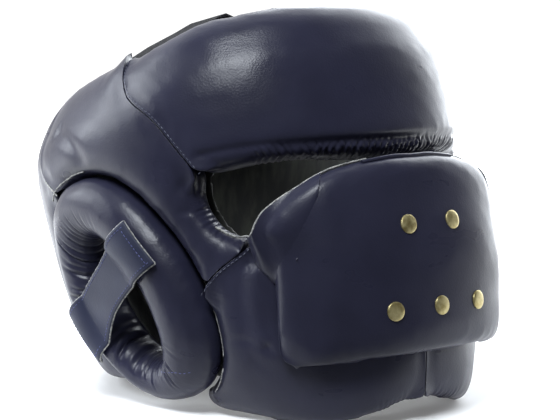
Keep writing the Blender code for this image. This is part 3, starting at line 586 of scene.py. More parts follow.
def close_seams(piece, seams):
    """Draw the skin up to its seams, so that only a fine dark line is left between pads."""
    arc, height, offset = locate(coordinates(piece))
    outer = fade(offset, SEAM_SKIN_START, SEAM_SKIN)
    outer *= 1 - 0.2 * fade(height, 0.93 * GUARD_HEIGHT, GUARD_HEIGHT)
    moved = np.zeros(len(arc), bool)
    for seam in seams:
        new_arc, new_height, near = drawn_to(arc, height, seam, offset > SEAM_SKIN, SEAM_REACH,
                                             SEAM_LEFT)
        arc = arc + (new_arc - arc) * outer
        height = height + (new_height - height) * outer
        lift = near * outer * (offset < SEAM_LEVEL)
        offset = offset + (SEAM_LEVEL - offset) * lift
        moved |= near * outer > 0
    points = coordinates(piece)
    points[moved] = place(arc[moved], height[moved], offset[moved])[0]
    set_coordinates(piece, points)


print("seams are drawn to within", SEAM_LEFT / MM, "mm")

# %% Puff a pad up
PAD_VOXEL = 4 * MM
SWELL_START = 2 * MM
SWELL_FULL = 22 * MM


def puffed(node, name, cap, seams, held_below, levels=2, voxel=PAD_VOXEL):
    """A puffed copy of a CAD pad. Its skin moves out by at most cap, less near its seams."""
    piece = cad_copy(node, name)
    apply_modifier(piece, "REMESH", mode="VOXEL", voxel_size=voxel)
    apply_modifier(piece, "SMOOTH", factor=0.5, iterations=3)
    rest = coordinates(piece)
    arc, height, offset = locate(rest)
    blow_up(piece, offset < held_below)
    moved = coordinates(piece) - rest
    outward = normals(piece)
    swell = np.clip((moved * outward).sum(1), 0, cap)
    for seam in seams:
        distance = near_line(arc, height, seam)[0]
        swell *= fade(distance, SWELL_START, SWELL_FULL)
    set_coordinates(piece, rest + outward * swell[:, None])
    print(name, "swells by up to", round(swell.max() / MM, 1), "mm")
    apply_modifier(piece, "SUBSURF", levels=levels, render_levels=levels)
    close_seams(piece, seams)
    activate(piece)
    bpy.ops.object.shade_smooth()
    return piece


print("squares of", PAD_VOXEL / MM, "mm before they are divided")

# %% [markdown]
# The seams are where the pads' leathers are sewn together, and the ear ring and its hole are
# leaning ovals. They are drawn once, as the CAD model draws them, and used for the puffing, the
# creases and the stitches alike, so that all of these stay in line with one another.

# %% Lines on the form that the pads share
FOREHEAD_SEAM = on_form(((54, 0.584), (59, 0.670), (65, 0.777), (74, 0.890), (81, 1.030)))
EYE_EDGE = on_form(((44, 0.422), (49, 0.424), (54, 0.453), (56.5, 0.515), (56, 0.555),
                    (54, 0.584)))
RING_LENGTH = 69 * MM
RING_WIDTH = 50 * MM
RING_TILT = math.radians(30)
RING_MIDDLE = np.array((SIDE_ARC - 7 * MM, 67.5 * MM))
HOLE_LENGTH = 38 * MM
HOLE_WIDTH = 19 * MM
HOLE_TILT = math.radians(20)
HOLE_MIDDLE = np.array((SIDE_ARC - 5 * MM, 60 * MM))
RING_PROUD = 8 * MM
RING_DEPTH = 31 * MM


def oval(degrees, middle, length, width, tilt, grow=0.0):
    """Points round a leaning oval: 0 is its upper end, 90 its front, 180 its lower end."""
    turn = np.radians(degrees)
    long = (length + grow) * np.cos(turn)
    wide = (width + grow) * np.sin(turn)
    return np.stack((middle[0] + long * math.sin(tilt) - wide * math.cos(tilt),
                     middle[1] + long * math.cos(tilt) + wide * math.sin(tilt)), -1)


def ring_line(first, last, grow=0.0, count=40):
    return oval(np.linspace(first, last, count), RING_MIDDLE, RING_LENGTH, RING_WIDTH,
                RING_TILT, grow)


CHEEK_SEAM = [tuple(ring_line(119, 119, 0.7 * MM, 1)[0])]
CHEEK_SEAM += on_form(((55, 0.345), (46, 0.392), (44, 0.422)))
BACK_SEAM = on_form(((112, 1.030), (114, 0.825), (112.5, 0.700)))
BACK_SEAM += [tuple(ring_line(-8, -8, 0.7 * MM, 1)[0])]
CHIN_SEAM = on_form(((0, 0.178), (0, -0.039)))
print("the forehead seam meets the rim at", round(FOREHEAD_SEAM[-1][0] / MM), "mm from the front")

# %% Make the pads
PAD_HELD = -13 * MM
RING_HELD = -16 * MM
BAR_HELD = 4 * MM
forehead = puffed("forehead_pad", "forehead_leather", 3.0 * MM,
                  [FOREHEAD_SEAM, other_side(FOREHEAD_SEAM)], PAD_HELD)
temple = puffed("temple_pad_right", "temple_leather_right", 3.0 * MM,
                [other_side(seam) for seam in (FOREHEAD_SEAM, CHEEK_SEAM, BACK_SEAM)],
                PAD_HELD)
jaw = puffed("jaw_pad_right", "jaw_leather_right", 2.5 * MM,
             [other_side(CHEEK_SEAM), CHIN_SEAM], PAD_HELD)
back = puffed("back_pad_right", "back_leather_right", 3.0 * MM,
              [other_side(BACK_SEAM)], PAD_HELD, levels=1)
ring = puffed("ear_ring_right", "ear_ring_leather_right", 1.2 * MM, [], RING_HELD,
              voxel=3 * MM)
bar = puffed("face_bar", "face_bar_leather", 2.0 * MM, [], BAR_HELD)
for piece in (forehead, temple, jaw, back, ring, bar):
    print(piece.name, len(piece.data.polygons), "faces")

# %% [markdown]
# ## Creases, tucks and gathers
# Leather that is pulled over a thick edge gathers into small pleats, and a stitch through a
# pad pinches it. These are drawn after the puffing, because they are finer than the remesh:
# each vertex knows its place on the form, and is pushed in along its normal.

# %% Marks seen in the photograph
PICTURE_WIDTH = 560
PICTURE_HEIGHT = 420
cad_points = []
cad_faces = []
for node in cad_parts.values():
    first = len(cad_points)
    cad_points += [tuple(vertex.co) for vertex in node.data.vertices]
    cad_faces += [[first + corner for corner in face.vertices] for face in node.data.polygons]
cad_tree = BVHTree.FromPolygons(cad_points, cad_faces)
camera_turn = np.array(camera.rotation_euler.to_matrix())
FRAME_SLOPE = camera.data.sensor_width / camera.data.lens


def camera_ray(across, down):
    """The direction from the camera through a pixel of the picture."""
    ray = np.array(((across / PICTURE_WIDTH - 0.5) * FRAME_SLOPE,
                    (0.5 * PICTURE_HEIGHT - down) / PICTURE_WIDTH * FRAME_SLOPE, -1.0))
    return Vector(camera_turn @ ray).normalized()


def seen(pixels):
    """Arc, height and offset of what the camera sees at pixels of the picture."""
    points = []
    for across, down in pixels:
        ray = camera_ray(across, down)
        found = cad_tree.ray_cast(camera.location, ray)[0]
        if found is None:
            found = cad_tree.find_nearest(camera.location + ray * CAMERA_DISTANCE)[0]
        points.append(found)
    return np.stack(locate(np.array(points)), -1)


print("the middle of the bar is seen at offset", np.round(seen([(380, 260)])[0] / MM, 1))

# %% Tools to press a crease


def push(piece, amount):
    """Move each vertex along its normal."""
    set_coordinates(piece, coordinates(piece) + normals(piece) * amount[:, None])


def groove(arc, height, line, depth, width, ends=8 * MM):
    """A crease along a line, fading at its ends."""
    distance, along, _ = near_line(arc, height, line)
    total = float(np.linalg.norm(np.diff(np.array(line), axis=0), axis=1).sum())
    held = fade(along, 0, ends) * fade(total - along, 0, ends)
    return -depth * np.exp(-(distance / width) ** 2) * held


def gathers(arc, height, line, pitch, reach, depth, seed, slant=0.0, inward=0):
    """Short pleats square to a line, uneven in pitch, depth and length."""
    distance, along, side = near_line(arc, height, line)
    total = float(np.linalg.norm(np.diff(np.array(line), axis=0), axis=1).sum())
    draw = np.random.default_rng(seed)
    amount = np.zeros(len(arc))
    at = 0.5 * pitch
    while at < total:
        deep = depth * draw.uniform(0.45, 1.2)
        long = reach * draw.uniform(0.55, 1.15)
        wide = pitch * draw.uniform(0.16, 0.26)
        shift = along - at - slant * distance
        pleat = -np.exp(-(shift / wide) ** 2) + 0.35 * np.exp(-((shift - 1.9 * wide) / wide) ** 2)
        amount += deep * pleat * fade(distance, long, 0.15 * long)
        at += pitch * draw.uniform(0.7, 1.35)
    if inward:
        amount = np.where(side == inward, amount, 0.0)
    return amount * fade(along, 0, pitch) * fade(total - along, 0, pitch)


def tack(arc, height, middle, radius, depth, seed):
    """A pinch where a stitch holds the pad, with a few folds running out of it."""
    gap_arc = arc - middle[0]
    gap_height = height - middle[1]
    distance = np.hypot(gap_arc, gap_height)
    turn = np.arctan2(gap_height, gap_arc)
    draw = np.random.default_rng(seed)
    folds = np.zeros(len(arc))
    for _ in range(5):
        away = (turn - draw.uniform(-math.pi, math.pi) + math.pi) % (2 * math.pi) - math.pi
        folds += draw.uniform(0.5, 1.0) * np.exp(-(away * np.maximum(distance, 2 * MM)
                                                   / (1.2 * MM)) ** 2)
    dimple = np.exp(-(distance / (0.38 * radius)) ** 2)
    return -depth * dimple - 0.45 * depth * folds * fade(distance, radius, 0.1 * radius)


def wavy(arc, height, pitch, seed):
    """A slow unevenness, as of foam under old leather."""
    draw = np.random.default_rng(seed)
    total = np.zeros(len(arc))
    for _ in range(7):
        turn = draw.uniform(0, math.pi)
        phase = draw.uniform(0, 2 * math.pi)
        wave = 2 * math.pi / (pitch * draw.uniform(0.6, 1.6))
        total += np.sin(wave * (arc * math.cos(turn) + height * math.sin(turn)) + phase)
    return total / 7


print("a crease in its middle:", groove(np.zeros(1), np.zeros(1), ((-MM, 0), (MM, 0)), MM, MM, MM))

# %% [markdown]
# The ear ring is a loop of foam whose leather is turned in through the hole and sewn behind.
# On the inside of such a bend the hide has too much length and gathers into pleats that run
# out from the hole, most at the ends of the oval. A cloth fine enough to find them would run
# for minutes and put them anywhere, so each is a shallow valley at an angle round the hole.

# %% Ear ring: pleats that run round the hole


def ring_measure(arc, height):
    """Angle round the ear hole, distance from its middle, and -1 at the hole to 1 outside."""
    gap = np.stack((np.abs(arc), height), -1) - HOLE_MIDDLE
    distance = np.maximum(np.linalg.norm(gap, axis=1), 0.01 * MM)
    unit = gap / distance[:, None]
    long_axis = np.array((math.sin(HOLE_TILT), math.cos(HOLE_TILT)))
    wide_axis = np.array((-math.cos(HOLE_TILT), math.sin(HOLE_TILT)))
    angle = np.degrees(np.arctan2(gap @ wide_axis / HOLE_WIDTH, gap @ long_axis / HOLE_LENGTH))
    inner = 1 / np.hypot(unit @ long_axis / HOLE_LENGTH, unit @ wide_axis / HOLE_WIDTH)
    ring_axis = np.array((math.sin(RING_TILT), math.cos(RING_TILT)))
    flat_axis = np.array((-math.cos(RING_TILT), math.sin(RING_TILT)))
    start = HOLE_MIDDLE - RING_MIDDLE
    begin = np.array((start @ ring_axis / RING_LENGTH, start @ flat_axis / RING_WIDTH))
    ahead = np.stack((unit @ ring_axis / RING_LENGTH, unit @ flat_axis / RING_WIDTH), -1)
    square = (ahead * ahead).sum(1)
    cross = 2 * ahead @ begin
    root = np.sqrt(cross * cross - 4 * square * (begin @ begin - 1))
    outer = (-cross + root) / (2 * square)
    return angle % 360, distance, (2 * distance - outer - inner) / (outer - inner)


# angle round the hole, how strongly the leather is gathered there
GATHER_ANGLES = (0, 40, 75, 120, 150, 175, 215, 260, 310, 345, 360)
GATHER_SHARES = (0.55, 0.20, 0.05, 0.05, 0.55, 1.00, 0.90, 1.00, 1.00, 0.75, 0.55)
PLEAT_COUNT = 44
PLEAT_DEPTH = 1.3 * MM
PLEAT_WIDTH = 0.95 * MM


def pleat_ring(piece):
    """Press the pleats in, and then the slow unevenness of the foam."""
    arc, height, offset = locate(coordinates(piece))
    angle, distance, share = ring_measure(arc, height)
    draw = np.random.default_rng(11)
    amount = np.zeros(len(arc))
    for number in range(PLEAT_COUNT):
        middle = (number + draw.uniform(-0.38, 0.38)) * 360 / PLEAT_COUNT
        deep = PLEAT_DEPTH * draw.uniform(0.35, 1.25)
        ends = draw.uniform(-0.35, 0.45)
        wide = PLEAT_WIDTH * draw.uniform(0.7, 1.35)
        bend = draw.uniform(-5, 5)
        away = (angle - middle - bend * share + 180) % 360 - 180
        across = np.radians(away) * distance
        pleat = (-np.exp(-(across / wide) ** 2)
                 + 0.4 * np.exp(-((across - 2 * wide) / wide) ** 2))
        amount += deep * pleat * fade(share, ends, ends - 0.75)
    strength = np.interp(angle, GATHER_ANGLES, GATHER_SHARES)
    facing = fade(offset, RING_PROUD - 0.95 * RING_DEPTH, RING_PROUD - 0.6 * RING_DEPTH)
    push(piece, amount * strength * facing)
    push(piece, 0.35 * MM * wavy(arc, height, 30 * MM, 5))
    print(piece.name, "pleated:", PLEAT_COUNT)


pleat_ring(ring)

# %% [markdown]
# The forehead panel is one wide pad, whose leather is turned under at the brow. The turn shows
# as one long fold with slanting tucks beneath it. They are drawn on the right half, where the
# photograph shows them, and mirrored: the tucks get another seed, so the halves differ.

# %% Forehead: the fold over the brow and its tucks
BROW_FOLD_SEEN = ((190, 157), (245, 147), (300, 142), (352, 139), (404, 138), (452, 139))
TUCKS_SEEN = ((310, 152), (352, 150), (394, 149), (430, 147), (452, 146))
FOLD_DEPTH = 0.9 * MM
FOLD_WIDTH = 2.2 * MM
TUCK_PITCH = 4.2 * MM
TUCK_REACH = 8 * MM
TUCK_DEPTH = 0.9 * MM
brow_fold = smooth_line(seen(BROW_FOLD_SEEN)[:, :2], 4 * MM)
tuck_line = smooth_line(seen(TUCKS_SEEN)[:, :2], 4 * MM)
arc, height, offset = locate(coordinates(forehead))
outer_side = fade(offset, -20 * MM, -14 * MM)
crease = 0.0
for fold, tucks, slant, seed in ((brow_fold, tuck_line, 0.7, 3),
                                 (other_side(brow_fold[::-1]), other_side(tuck_line[::-1]),
                                  -0.7, 4)):
    crease += groove(arc, height, fold, FOLD_DEPTH, FOLD_WIDTH)
    crease += gathers(arc, height, tucks, TUCK_PITCH, TUCK_REACH, TUCK_DEPTH, seed, slant=slant)
crease += 0.35 * MM * wavy(arc, height, 60 * MM, 6)
push(forehead, crease * outer_side)
print("brow fold:", len(brow_fold), "marks a side")

# %% [markdown]
# Over the temples the turned hide of the top rim stands up a little, most at the seam, where
# the temple's corner laps over the forehead. Moving the rim of the CAD solid would change its
# size, so the finished skins are lifted here by a soft profile.

# %% Raise the top rim over the temples
RIM_RISE = 3.2 * MM
CORNER_RISE = 2.4 * MM
FOREHEAD_EASE = 0.8 * MM
CORNER_REACH = 16 * MM
RIM_START = 0.86 * GUARD_HEIGHT
RIM_FULL = 0.99 * GUARD_HEIGHT
SEAM_TOP_ARC = float(arc_at(80))
UPWARD = to_world(np.array((0, 0, 1.0))) - HEAD_PLACE
for piece in (forehead, temple, back):
    arc, height, offset = locate(coordinates(piece))
    share = fade(height, RIM_START, RIM_FULL)
    share *= fade(np.abs(arc), float(arc_at(34)), float(arc_at(58)))
    share *= fade(np.abs(arc), float(arc_at(150)), float(arc_at(120)))
    near_seam = fade(np.abs(np.abs(arc) - SEAM_TOP_ARC), CORNER_REACH, 0) * (piece is temple)
    extra = near_seam * CORNER_RISE - FOREHEAD_EASE * (piece is forehead)
    rise = share * (RIM_RISE + extra)
    set_coordinates(piece, coordinates(piece) + rise[:, None] * UPWARD)
    print(piece.name, "rises by up to", round(float(rise.max()) / MM, 1), "mm")

# %% [markdown]
# The temple panel comes down to the outer corner of the eye. Its leather is gathered finely
# round that tight bend, and years of use have pressed long dents above the ear. Both are drawn
# with the same tools as the forehead's folds, with their own pitch and depth.

# %% Temple: gathers round the eye and dents above the ear
SKIN_START = -21 * MM
SKIN_FULL = -15 * MM
arc, height, offset = locate(coordinates(temple))
outer_side = fade(offset, SKIN_START, SKIN_FULL)
eye_line = smooth_line(other_side(EYE_EDGE)[:4], 3 * MM)
eye_corner = smooth_line(other_side(EYE_EDGE)[3:], 3 * MM)
EAR_DENT_SEEN = ((56, 129), (65, 139), (73, 150), (79, 161), (83, 170))
EYE_DENT_SEEN = ((196, 176), (182, 186), (176, 200))
SOFT_FOLD_SEEN = ((172, 215), (190, 212), (203, 217))
crease = gathers(arc, height, eye_line, pitch=3.2 * MM, reach=6.5 * MM, depth=0.5 * MM, seed=8)
crease += gathers(arc, height, eye_corner, pitch=8 * MM, reach=11 * MM, depth=0.3 * MM, seed=9)
for pixels, deep, wide in ((EAR_DENT_SEEN, 1.3, 6.0), (EYE_DENT_SEEN, 0.8, 3.0),
                           (SOFT_FOLD_SEEN, 0.7, 2.5)):
    line = smooth_line(seen(pixels)[:, :2], 3 * MM)
    crease += groove(arc, height, line, deep * MM, wide * MM)
crease += 0.5 * MM * wavy(arc, height, 48 * MM, 12)
push(temple, crease * outer_side)
print("temple creases go in by up to", round(float(-crease.min()) / MM, 1), "mm")

# %% [markdown]
# The bar is the thickest pad, a block of foam over nose and mouth. Its top runs in one line
# from the middle to the pale raw edge under the eye, and its ends roll back towards the jaw.
# The voxel remesh has rounded those corners off, so they are drawn out again to the outline.

# %% Bar: draw its corners up to the raw edge and round its ends
BAR_HALF_WIDTH = 86 * MM
BAR_LOW = 17 * MM
BAR_HEIGHT = 103 * MM
# across and up, as shares of the bar's half width and height
BAR_TOP = ((1.00, 0.68), (0.97, 0.74), (0.92, 0.80), (0.78, 0.875), (0.55, 0.960),
           (0.20, 1.000), (0.00, 1.000))
BAR_UPPER = 60 * MM
BAR_REACH = 14 * MM
BAR_GAP = 0.3 * MM
BAR_END_ROUND = 7 * MM
BAR_END_START = 56 * MM
BAR_END_FULL = 88 * MM
bar_top = np.array(BAR_TOP) * (BAR_HALF_WIDTH, BAR_HEIGHT) + (0, BAR_LOW)
points = coordinates(bar)
arc, height, offset = locate(points)
across, up, _ = drawn_to(np.abs(points[:, 0]), height, bar_top, height > BAR_UPPER, BAR_REACH,
                         BAR_GAP)
points[:, 0] = np.copysign(across, points[:, 0])
points += (up - height)[:, None] * UPWARD
print("bar corners move by up to", round(float(np.abs(up - height).max()) / MM, 1), "mm")
end = fade(np.abs(points[:, 0]), BAR_END_START, BAR_END_FULL)
end *= fade(offset, 3 * MM, 10 * MM)
points -= end[:, None] * BAR_END_ROUND * place(arc, height)[1]
set_coordinates(bar, points)

# %% [markdown]
# The jaw panel runs from the cheek to the chin behind the bar. It is tacked down beside the
# bar's end, which pinches it, gathers at the chin, and swells up against the bar. The tacks
# are dimples with a few folds running out of them, placed where the photograph shows them.

# %% Jaw: tacks, soft folds, the pleats at the chin and the swell beside the bar
TACKS_SEEN = ((249, 262), (268, 350))
BAR_CREASE_SEEN = ((258, 280), (264, 310), (270, 342))
LOW_FOLD_SEEN = ((216, 338), (240, 341), (262, 345))
arc, height, offset = locate(coordinates(jaw))
outer_side = fade(offset, SKIN_START, SKIN_FULL)
crease = 0.45 * MM * wavy(arc, height, 42 * MM, 14)
for number, spot in enumerate(seen(TACKS_SEEN)):
    crease += tack(arc, height, spot[:2], radius=9 * MM, depth=0.8 * MM, seed=20 + number)
for pixels, deep, wide in ((BAR_CREASE_SEEN, 0.4, 3.0), (LOW_FOLD_SEEN, 0.4, 2.5)):
    line = smooth_line(seen(pixels)[:, :2], 3 * MM)
    crease += groove(arc, height, line, deep * MM, wide * MM)
chin_line = smooth_line([(-3 * MM, -9 * MM), (-22 * MM, -12 * MM), (-46 * MM, -14 * MM)], 3 * MM)
crease += gathers(arc, height, chin_line, pitch=4.5 * MM, reach=12 * MM, depth=0.6 * MM, seed=16)
END_FILL_SEEN = ((258, 246), (266, 275), (269, 310), (272, 345))
END_FILL = 5 * MM
end_line = smooth_line(seen(END_FILL_SEEN)[:, :2], 3 * MM)
distance, along, _ = near_line(arc, height, end_line)
fill = END_FILL * fade(distance, 16 * MM, 2 * MM) * (1 - 0.75 * fade(along, 0, 60 * MM))
cheek = near_line(arc, height, smooth_line(other_side(CHEEK_SEAM), 3 * MM))[0]
crease += fill * fade(cheek, 2 * MM, 14 * MM)
push(jaw, crease * outer_side)
print("the jaw swells by up to", round(float(fill.max()) / MM, 1), "mm beside the bar")

# %% Bar and back: only the slow unevenness
for piece, deep, pitch, seed in ((bar, 0.35, 55, 18), (back, 0.5, 46, 19)):
    arc, height, offset = locate(coordinates(piece))
    push(piece, deep * MM * wavy(arc, height, pitch * MM, seed))
print("creased:", ", ".join(piece.name for piece in (forehead, temple, jaw, bar, back, ring)))

# %% [markdown]
# The guard is the same on both sides, so the left-hand pads are copies with their across
# values turned round and their faces flipped back outwards. A Mirror modifier would leave both
# halves in one mesh, and each pad has to stay a piece of its own.

# %% Mirror the right-hand pads
pads = {"forehead_pad": forehead, "face_bar": bar}
for piece, node in ((temple, "temple_pad"), (jaw, "jaw_pad"), (back, "back_pad"),
                    (ring, "ear_ring")):
    pads[node + "_right"] = piece
    pads[node + "_left"] = mirrored_copy(piece, piece.name.replace("right", "left"))
for node, piece in pads.items():
    piece.data.materials.append(pad_leather)
    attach(piece, "root")
    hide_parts(node)
print("pads:", len(pads))

# %% [markdown]
# ## Lining
# The inside is a soft suede skin over thin foam, open at the eyes and at the ears. It could be
# blown up like the pads, but it lies slack against the head, so its CAD solid only needs finer
# squares, a little unevenness and its nap.

# %% Lining
LINING_VOXEL = 2.5 * MM
lining = cad_copy("lining_right", "lining_suede_right")
apply_modifier(lining, "REMESH", mode="VOXEL", voxel_size=LINING_VOXEL)
apply_modifier(lining, "SMOOTH", factor=0.5, iterations=4)
arc, height, offset = locate(coordinates(lining))
push(lining, 0.35 * MM * wavy(arc, height, 26 * MM, 30))
activate(lining)
bpy.ops.object.shade_smooth()
linings = {"lining_right": lining,
           "lining_left": mirrored_copy(lining, "lining_suede_left")}
for node, piece in linings.items():
    piece.data.materials.append(lining_suede)
    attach(piece, "root")
    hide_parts(node)
print("lining:", len(lining.data.polygons), "faces a side")

# %% [markdown]
# ## Straps
# Each strap is a flat strip, cut from hide or webbing. It could be a curve with a flat bevel,
# but a strip's width and twist are easier to lead with a grid: the grid is bent onto the path
# that the strap follows, then Solidify gives it its thickness and a bevel rounds its edges.

# %% Bend a grid into a strap
STRAP_THICKNESS = 2.5 * MM


def strap(name, path, along, across, thickness=STRAP_THICKNESS):
    """path takes arrays of the share along, 0 to 1, and across, -1 to 1."""
    bpy.ops.object.select_all(action="DESELECT")
    bpy.ops.mesh.primitive_grid_add(x_subdivisions=along, y_subdivisions=across, size=2)
    piece = bpy.context.active_object
    piece.name = name
    flat = coordinates(piece)
    points, outward = path((flat[:, 0] + 1) / 2, flat[:, 1])
    set_coordinates(piece, points)
    if (normals(piece) * outward).sum() < 0:
        piece.data.flip_normals()
    apply_modifier(piece, "SOLIDIFY", thickness=thickness, offset=0.0)
    apply_modifier(piece, "BEVEL", width=0.28 * thickness, segments=2, limit_method="ANGLE",
                   angle_limit=math.radians(50))
    activate(piece)
    bpy.ops.object.shade_smooth()
    return piece


def dress(piece, finish, node=None):
    """Give a piece its finish and its body, and hide the CAD node it stands for."""
    piece.data.materials.append(finish)
    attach(piece, "root")
    if node:
        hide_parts(node)
    return piece


print("straps are", STRAP_THICKNESS / MM, "mm thick")

# %% [markdown]
# A strap or a stitch lies on leather that has been puffed, creased and moved, and no longer on
# the plain form. A Shrinkwrap modifier could press it down, but here each point simply looks
# along the form's normal for the first skin that it meets, and takes its place from that.

# %% What a strap or a stitch lies on
depsgraph = bpy.context.evaluated_depsgraph_get()
skins = {node: BVHTree.FromObject(piece, depsgraph) for node, piece in pads.items()}
LOOK_FROM = 42 * MM


def on_skin(nodes, arc, height, lift=0.0):
    """Points and normals where the finished pads lie under places on the form."""
    starts, outward = place(arc, height, LOOK_FROM)
    points = []
    directions = []
    for start, normal, a, h in zip(starts, outward, arc, height):
        hits = [skins[node].ray_cast(Vector(start), -Vector(normal), 2 * LOOK_FROM)
                for node in nodes]
        hits = [hit for hit in hits if hit[0] is not None]
        if hits:
            spot, facing = min(hits, key=lambda hit: hit[3])[:2]
        else:
            spot, facing = Vector(place(a, h)[0]), Vector(normal)
        points.append(spot + facing * lift)
        directions.append(facing)
    return np.array(points), np.array(directions)


print("skins:", len(skins))

# %% [markdown]
# A waisted strap of dry hide is sewn across each ear hole. It lies on the ring at both ends
# and sags a little in between. Its middle line and its width come from eight marks, set out
# from the hole as the CAD model does it.

# %% Ear straps
# share of RING_WIDTH along and up from the hole's middle, half width as a share of HOLE_WIDTH
EAR_STRAP = np.array((
    (-0.71, 0.63, 0.72),
    (-0.52, 0.52, 0.70),
    (-0.32, 0.39, 0.64),
    (-0.12, 0.25, 0.60),
    (0.12, 0.09, 0.62),
    (0.36, -0.09, 0.70),
    (0.54, -0.22, 0.78),
    (0.68, -0.32, 0.80),
))
EAR_STRAP_LIFT = 1.2 * MM
EAR_STRAP_SAG = 5 * MM
ear_centre = smooth_line(EAR_STRAP[:, :2] * RING_WIDTH, 2 * MM)
ear_shares = np.linspace(0, 1, len(ear_centre))
ear_widths = np.interp(ear_shares, np.linspace(0, 1, len(EAR_STRAP)),
                       EAR_STRAP[:, 2] * HOLE_WIDTH)
ear_runs = np.gradient(ear_centre, axis=0)
ear_runs /= np.linalg.norm(ear_runs, axis=1, keepdims=True)


def ring_top(arc, height):
    """The ring's outer face, or the sagging strap over its hole."""
    share = np.clip(ring_measure(arc, height)[2], -1, 1)
    face = RING_PROUD - RING_DEPTH / 2 * (1 - np.sqrt(1 - share * share))
    return np.where(share < 0, np.maximum(face, RING_PROUD - EAR_STRAP_SAG), face)


def ear_strap_spot(along, across):
    """Arc and height on the right-hand ear strap."""
    spot = np.stack([np.interp(along, ear_shares, column) for column in ear_centre.T], -1)
    run = np.stack([np.interp(along, ear_shares, column) for column in ear_runs.T], -1)
    side = np.stack((-run[:, 1], run[:, 0]), -1)
    half = np.interp(along, ear_shares, ear_widths)
    spot = HOLE_MIDDLE + spot + side * (across * half)[:, None]
    return -spot[:, 0], spot[:, 1]


def ear_strap_path(along, across, lift=0.0):
    """Points and normals on the right-hand ear strap."""
    arc, height = ear_strap_spot(along, across)
    rise = EAR_STRAP_LIFT + STRAP_THICKNESS / 2 + lift
    rise = rise - 0.5 * MM * np.cos(across * math.pi / 2) * np.sin(along * math.pi)
    return place(arc, height, ring_top(arc, height) + rise)


ear_strap = strap("ear_strap_hide_right", ear_strap_path, 60, 16)
for node, piece in (("ear_strap_right", ear_strap),
                    ("ear_strap_left", mirrored_copy(ear_strap, "ear_strap_hide_left"))):
    dress(piece, strap_leather, node)
print("ear straps:", len(ear_strap.data.polygons), "faces each")

# %% [markdown]
# Two black webbing straps cross over the open crown. Each starts inside the pads, climbs
# steeply behind the rim and lies nearly flat on top. The rise is a short table rather than an
# arc of a circle, because a strap under tension has its bends near the walls.

# %% Crown straps
ANCHOR_HEIGHT = 0.905 * GUARD_HEIGHT
CREST = GUARD_HEIGHT + 12 * MM
CROWN_HALF_WIDTH = 22 * MM
CROWN_BACK = 30 * MM
CROWN_RIDGE_FALL = 0.34
LINING_GAP = 1.2 * MM
LAYER_GAP = 0.8 * MM
# share of the way from the pads to the crest, share of the rise
CROSS_RISE = ((0.00, 0.00), (0.05, 0.24), (0.12, 0.46), (0.36, 0.66), (0.60, 0.80),
              (0.85, 0.92), (1.00, 1.00))
LONG_RISE = ((0.00, 0.00), (0.15, 0.29), (0.35, 0.58), (0.60, 0.84), (0.80, 0.96),
             (1.00, 1.00))


def arch(start, end, crest, along, rises, half):
    """From one wall over the crest to the other; half is where the strap's middle lies."""
    share = 1 - np.abs(2 * along - 1)
    foot = np.where((along < 0.5)[:, None], start, end)
    rise = np.interp(share, *np.array(rises).T)
    level = foot[:, :2] + (crest[:, :2] - foot[:, :2]) * share[:, None]
    tall = foot[:, 2] + (crest[:, 2] - foot[:, 2]) * rise + half
    return np.column_stack((level, tall))


def crown_skin(arc):
    """Points just inside the pads where a crown strap is sewn on."""
    thickness = section(np.array([ANCHOR_HEIGHT]))[0, 3]
    return head_place(arc, ANCHOR_HEIGHT, -thickness - LINING_GAP)[0]


def cross_path(along, across):
    shift = CROWN_BACK + across * CROWN_HALF_WIDTH
    start = crown_skin(-(SIDE_ARC + shift))
    end = crown_skin(SIDE_ARC + shift)
    crest = np.column_stack((0 * along, start[:, 1], 0 * along + CREST))
    points = arch(start, end, crest, along, CROSS_RISE, STRAP_THICKNESS / 2)
    return to_world(points), np.tile((0.0, 0.0, 1.0), (len(along), 1))


def long_path(along, across):
    aside = across * CROWN_HALF_WIDTH
    start = crown_skin(aside)
    end = crown_skin(HALF_ROUND - aside)
    peak = CREST - STRAP_THICKNESS - LAYER_GAP - CROWN_RIDGE_FALL * np.abs(aside)
    crest = np.column_stack((start[:, 0], 0 * along + CROWN_BACK, peak))
    points = arch(start, end, crest, along, LONG_RISE, STRAP_THICKNESS / 2)
    return to_world(points), np.tile((0.0, 0.0, 1.0), (len(along), 1))


cross_strap = strap("crown_webbing_cross", cross_path, 90, 14)
long_strap = strap("crown_webbing_long", long_path, 90, 14)
dress(cross_strap, black_webbing, "crown_strap_cross")
dress(long_strap, black_webbing, "crown_strap_long")
for piece in (cross_strap, long_strap):
    size = coordinates(piece).max(0) - coordinates(piece).min(0)
    print(piece.name, np.round(size / MM).tolist(), "mm")

# %% [markdown]
# A wide strap closes the back. It is pressed onto the two back pads and spans the gap between
# them, so its path is level over the gap and follows the finished skins towards its ends. The
# chin strap is webbing inside the jaw and only shows its edge, so it follows the plain form.

# %% Closure strap and chin strap
CLOSURE_MIDDLE = 95 * MM
CLOSURE_HALF_WIDTH = 22 * MM
CLOSURE_REACH = 86 * MM
CLOSURE_LIFT = 1.6 * MM
CLOSURE_LAID_START = 35 * MM
CLOSURE_LAID = 60 * MM
CHIN_REACH = 78 * MM
CHIN_WIDTH = 34 * MM
CHIN_LOW = ((-78 * MM, -9.7 * MM), (-39 * MM, -19.0 * MM), (0.0, -16.0 * MM),
            (39 * MM, -19.0 * MM), (78 * MM, -9.7 * MM))
LINING_THICKNESS = 4 * MM


